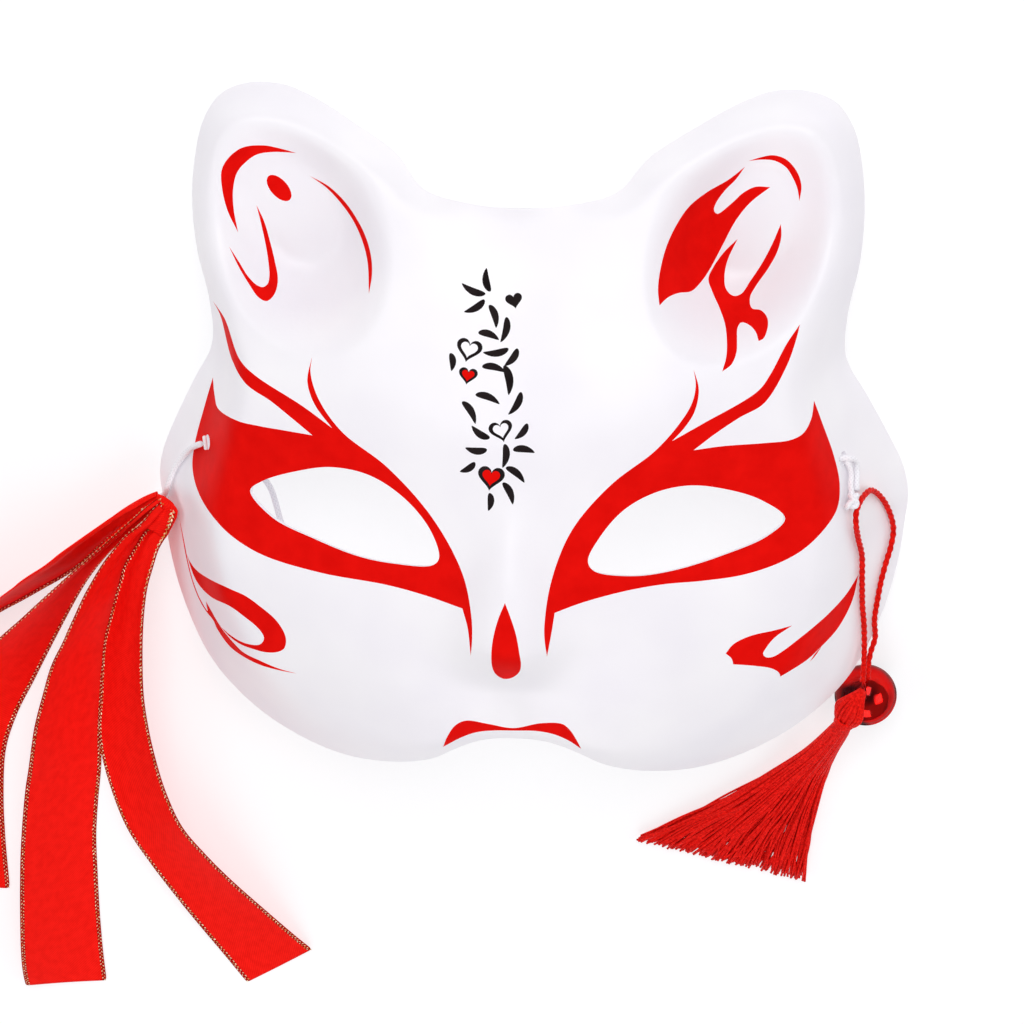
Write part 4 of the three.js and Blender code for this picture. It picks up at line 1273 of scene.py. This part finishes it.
def sew(stitches, line, chance):
    """Adds the gold stitches of one edge, whose rows hold an outer point, an inner point and
    the way up. A stitch has a place, its ways along, inwards and up, and its lean."""
    travel, wanted = 0.0, 0.0
    for (p, q, n), (p2, q2, n2) in zip(line, line[1:]):
        reach = (p2 - p).length
        while wanted < travel + reach:
            t = (wanted - travel) / reach
            inwards = mix(q - p, q2 - p2, t).normalized()
            row = len(stitches) % 2
            inset = STITCH_INSET + STITCH_ROWS * row + chance.uniform(-0.06, 0.06)
            spot = mix(p, p2, t) + inwards * (inset * MM)
            lean = (STITCH_LEAN if row else -STITCH_LEAN) + chance.uniform(-0.25, 0.25)
            up = mix(n, n2, t).normalized()
            stitches.append((spot, (p2 - p).normalized(), inwards, up, lean))
            wanted += chance.uniform(*STITCH_PITCH) * MM
        travel += reach


def film_facets(stitches, chance):
    """Points and faces of the stitches, each with a crest of its own height and skew."""
    points, faces = [], []
    for spot, way, inwards, up, lean in stitches:
        long = (way * math.cos(lean) + inwards * math.sin(lean)).normalized()
        wide = up.cross(long).normalized()
        high = up * chance.uniform(*STITCH_HEIGHT) * MM
        a, b = chance.uniform(*STITCH_LENGTH) * MM, chance.uniform(*STITCH_WIDTH) * MM
        skew = long * chance.uniform(-0.2, 0.2) * MM + wide * chance.uniform(-0.12, 0.12) * MM
        at = len(points)
        points += [spot + long * a, spot + wide * b, spot - long * a, spot - wide * b]
        points += [spot + high + skew, spot - high]
        faces += [(at + i, at + (i + 1) % 4, at + 4) for i in range(4)]
        faces += [(at + (i + 1) % 4, at + i, at + 5) for i in range(4)]
    return points, faces


def ribbon(name, keys, satin, gold, folds):
    """A satin ribbon, and the gold thread along its edges as a second piece."""
    folded = name == FOLDED_TAIL
    lines, ups, run = ribbon_rows(keys, folds, folded)
    columns = RIBBON_COLUMNS + 1
    faces = []
    for i in range(len(lines) - 1):
        for a in range(i * columns, i * columns + RIBBON_COLUMNS):
            faces.append((a, a + 1, a + columns + 1, a + columns))
    o = new_object(name + "_satin", [p for line in lines for p in line], faces, [satin])
    seen_width = RIBBON_WIDTH - (FOLDED_UNDER if folded else 0)
    uv = o.data.uv_layers.new(name="Along")
    for loop in o.data.loops:
        i, k = divmod(loop.vertex_index, columns)
        uv.data[loop.index].uv = (run[i] * MM, k / RIBBON_COLUMNS * seen_width * MM)
    fine = o.modifiers.new("fine", "SUBSURF")
    fine.levels = fine.render_levels = 1
    thick = o.modifiers.new("thick", "SOLIDIFY")
    thick.thickness, thick.offset = SATIN_THICKNESS * MM, 0
    apply_modifiers(o)

    chance = random.Random(name)
    stitches = []
    sew(stitches, [(line[0], line[1], up) for line, up in zip(lines, ups)], chance)
    if not folded:
        sew(stitches, [(line[-1], line[-2], up) for line, up in zip(lines, ups)], chance)
    g = new_object(name + "_gold", *film_facets(stitches, chance), [gold], smooth=False)
    settle(o, [name])
    settle(g)


class MASK_OT_ribbons(bpy.types.Operator):
    """Makes the bunch of satin ribbon and its four tails"""

    bl_idname = "fox_mask.ribbons"
    bl_label = "Ribbons"

    def execute(self, context):
        satin, gold = satin_cloth(), gold_thread()
        for number, (name, keys) in enumerate(RIBBON_TAILS.items()):
            ribbon(name, keys, satin, gold, number * 0.7)
        rows = smooth_curve([(*middle, *wide, high) for middle, wide, high in RIBBON_BUNCH], 10)
        rings = []
        for i, row in enumerate(rows):
            middle, wide, high = Vector(row[:3]), Vector(row[3:6]), Vector((0, 0, row[6]))
            closing = math.sin(math.pi / 2 * min((i + 1) / 6, 1.0))
            ring = []
            for a in turns(56):
                fold = closing * (1 - 0.17 * abs(math.sin(3.5 * a + 0.5)) ** 2.5)
                spot = middle + (wide * math.cos(a) + high * math.sin(a)) * fold
                ring.append(lying(*spot))
            rings.append(ring)
        run = [at * MM for at in run_of([row[:3] for row in rows])]
        bunch = ring_solid("ribbon_bunch_satin", rings, run, [satin], 16 * MM, 3 * MM)
        settle(bunch, ["ribbon_bunch"])
        return {"FINISHED"}


class MASK_OT_cord(bpy.types.Operator):
    """Makes the red cord between the knot and the bell"""

    bl_idname = "fox_mask.cord"
    bl_label = "Red cord"

    def execute(self, context):
        points = [lying(*p) for p in CORD_UP] + [on_face(*p) for p in CORD_ON_FACE]
        points += [lying(*p) for p in CORD_DOWN]
        path, length = even_path(points, 0.45 * MM)
        radius = context.scene.fox_mask_sizes.cord / 2
        silk = rayon("twisted_red_cord", "C00E0A", "EA1A12")
        cord = tube(
            "red_cord", path, radius * 1.08, 18, [silk], lobes=2, lobe_depth=0.26, pitch=3.6 * MM
        )
        settle(cord, ["tassel_cord"])
        return {"FINISHED"}


def bell_ball(r, red, dark):
    """The hollow ball, with a crimped seam and a slot that ends in round holes."""
    deselect()
    bpy.ops.mesh.primitive_uv_sphere_add(segments=72, ring_count=48, radius=r)
    ball = fresh(red, dark)
    for v in ball.data.vertices:
        height = v.co.z / r
        rise = SEAM_RISE * math.exp(-((height / 0.05) ** 2))
        dip = SEAM_DIP * math.exp(-(((abs(height) - 0.12) / 0.04) ** 2))
        v.co *= 1 + rise - dip
    wall = ball.modifiers.new("wall", "SOLIDIFY")
    wall.thickness, wall.offset, wall.material_offset = BELL_WALL * MM, -1, 1
    apply_modifiers(ball)
    deselect()
    size = (1.5 * r, SLOT_WIDTH * MM, 1.1 * r)
    bpy.ops.mesh.primitive_cube_add(size=1, location=(0, 0, -r), scale=size)
    cutters = [fresh()]
    for x in (-0.72 * r, 0.72 * r):
        deselect()
        bpy.ops.mesh.primitive_cylinder_add(
            vertices=28, radius=SLOT_END_RADIUS * MM, depth=r, location=(x, 0, -0.82 * r)
        )
        cutters.append(fresh())
    for cutter in cutters:
        cut = ball.modifiers.new("cut", "BOOLEAN")
        cut.object, cut.operation, cut.solver = cutter, "DIFFERENCE", "EXACT"
    apply_modifiers(ball)
    for cutter in cutters:
        bpy.data.objects.remove(cutter)
    return ball


class MASK_OT_bell(bpy.types.Operator):
    """Makes the jingle bell with its shank"""

    bl_idname = "fox_mask.bell"
    bl_label = "Bell"

    def execute(self, context):
        red, dark = lacquered_metal(), shaded_inside_metal()
        r = BELL_RADIUS * MM
        ball = bell_ball(r, red, dark)
        deselect()
        bpy.ops.mesh.primitive_torus_add(
            major_radius=SHANK_RADIUS * MM, minor_radius=SHANK_THICKNESS * MM, major_segments=40,
            minor_segments=14, location=(0, 0, r + SHANK_LIFT * MM),
            rotation=(math.radians(90), 0, 0),
        )
        ring = fresh(red)
        deselect()
        bpy.ops.mesh.primitive_ico_sphere_add(
            subdivisions=3, radius=PELLET_RADIUS * MM, location=[part * MM for part in PELLET]
        )
        parts = [ball, ring, fresh(dark)]
        for part in parts:
            activate(part)
            bpy.ops.object.transform_apply(location=True, rotation=True, scale=True)
        bell = join("bell_body", parts)
        turn = SHANK_WAY.to_track_quat("Z", "X").to_matrix().to_4x4()
        bell.data.transform(Matrix.Translation(lying(*BELL)) @ turn)
        activate(bell)
        bpy.ops.object.shade_smooth_by_angle(angle=math.radians(40))
        settle(bell, ["jingle_bell"])
        return {"FINISHED"}


def threads(name, paths, radius, sides, step, silk):
    """Closed threads along many paths, as one object."""
    points, faces = [], []
    for path in paths:
        even, _ = even_path(path, step)
        more, new = skin(tube_points(even, radius, sides), len(points))
        points += more
        faces += new
    return new_object(name, points, faces, [silk])


def head_thread(chance, axis, whole):
    """A thread of the head, looped from the shank over to the neck."""
    a, depth = chance.uniform(0, math.tau), math.sqrt(chance.uniform(0.15, 1))
    path = []
    for k, (far, wide, thick) in enumerate(HEAD_ROWS):
        out = Matrix.Rotation(mix(*HEAD_TURN, k / 5) * whole, 3, axis) @ SHANK_WAY
        spot = BELL + out * (far + math.sin(a) * depth * thick)
        path.append(lying(*(spot + axis * (math.cos(a) * depth * wide))))
    return path


def skirt_thread(chance, number):
    """A hanging thread, which wanders across the skirt on its way down."""
    share = (number + chance.random()) / SKIRT_THREADS
    layer, lift = chance.uniform(-1, 1), chance.random()
    wander = [chance.gauss(0, 1) for _ in range(4)]
    path = []
    for k, (left, right, high, thick) in enumerate(TASSEL_ROWS):
        u = share + WANDER * k * wander[k % 4] + (chance.gauss(0, FRAY) if k > 2 else 0)
        u = min(max(u, -0.02), 1.02)
        x, y = mix(left[0], right[0], u), mix(left[1], right[1], u)
        edge = 2 * min(max(u, 0), 1) - 1
        round_off = math.sqrt(max(1 - edge * edge, 0.04)) if k < 4 else 1
        z = high + layer * thick * round_off * 0.85
        path.append(Vector((x, y, max(z, 0.5))))
    last = path[-1] - path[-2]
    path[-1] = path[-2] + last * mix(0.78, 1.06, lift ** 0.6)
    return [lying(*p) for p in path]


class MASK_OT_tassel(bpy.types.Operator):
    """Makes the tassel: its head looped over the shank, and the hanging threads"""

    bl_idname = "fox_mask.tassel"
    bl_label = "Tassel"

    def execute(self, context):
        chance = random.Random(7)
        silk = rayon("tassel_red_rayon", "CE120E", "F4221A")
        axis = SHANK_WAY.cross(NECK_WAY).normalized()
        whole = SHANK_WAY.angle(NECK_WAY)
        paths = [head_thread(chance, axis, whole) for _ in range(HEAD_THREADS)]
        radius = HEAD_THREAD_RADIUS * MM
        head = threads("tassel_head_threads", paths, radius, 6, 1.1 * MM, silk)
        # Thread bound round the neck
        neck = Matrix.Rotation(NECK_TURN * whole, 3, axis) @ SHANK_WAY
        way = axis.cross(neck).normalized()
        binding = []
        for k in range(BINDING_TURNS * 24 + 1):
            a = k / 24 * math.tau
            spot = BELL + neck * NECK_AWAY + way * (k / 24 * BINDING_PITCH - 1.3)
            binding.append(lying(*(spot + (axis * math.cos(a) + neck * math.sin(a)) * NECK_RADIUS)))
        wrap = tube("wrap", binding, BINDING_THREAD_RADIUS * MM, 6, [silk])
        settle(join("tassel_head_threads", [head, wrap]), ["tassel_head"])

        paths = [skirt_thread(chance, number) for number in range(SKIRT_THREADS)]
        radius = SKIRT_THREAD_RADIUS * MM
        skirt = threads("tassel_skirt_threads", paths, radius, 5, 2.6 * MM, silk)
        settle(skirt, ["tassel_skirt"])
        return {"FINISHED"}


class MASK_PT_panel(bpy.types.Panel):
    """Lists the mask's pieces"""

    bl_idname = "MASK_PT_panel"
    bl_label = "Fox half-face mask"
    bl_space_type = "VIEW_3D"
    bl_region_type = "UI"
    bl_category = "Mask"

    def draw(self, context):
        sizes = context.scene.fox_mask_sizes
        for name in ("wall", "grain", "elastic", "cord", "floor"):
            self.layout.prop(sizes, name)
        for kind in OPERATORS:
            self.layout.operator(kind.bl_idname)


OPERATORS = (
    MASK_OT_stage,
    MASK_OT_elastic,
    MASK_OT_bell,
    MASK_OT_tassel,
    MASK_OT_cord,
    MASK_OT_shell,
    MASK_OT_ribbons,
)
CLASSES = (MaskSizes, *OPERATORS, MASK_PT_panel)


def register():
    for kind in CLASSES:
        bpy.utils.register_class(kind)
    bpy.types.Scene.fox_mask_sizes = PointerProperty(type=MaskSizes)


def unregister():
    del bpy.types.Scene.fox_mask_sizes
    for kind in reversed(CLASSES):
        bpy.utils.unregister_class(kind)


def main():
    register()
    for kind in OPERATORS:
        group, name = kind.bl_idname.split(".")
        getattr(getattr(bpy.ops, group), name)()


if __name__ == "__main__":
    main()
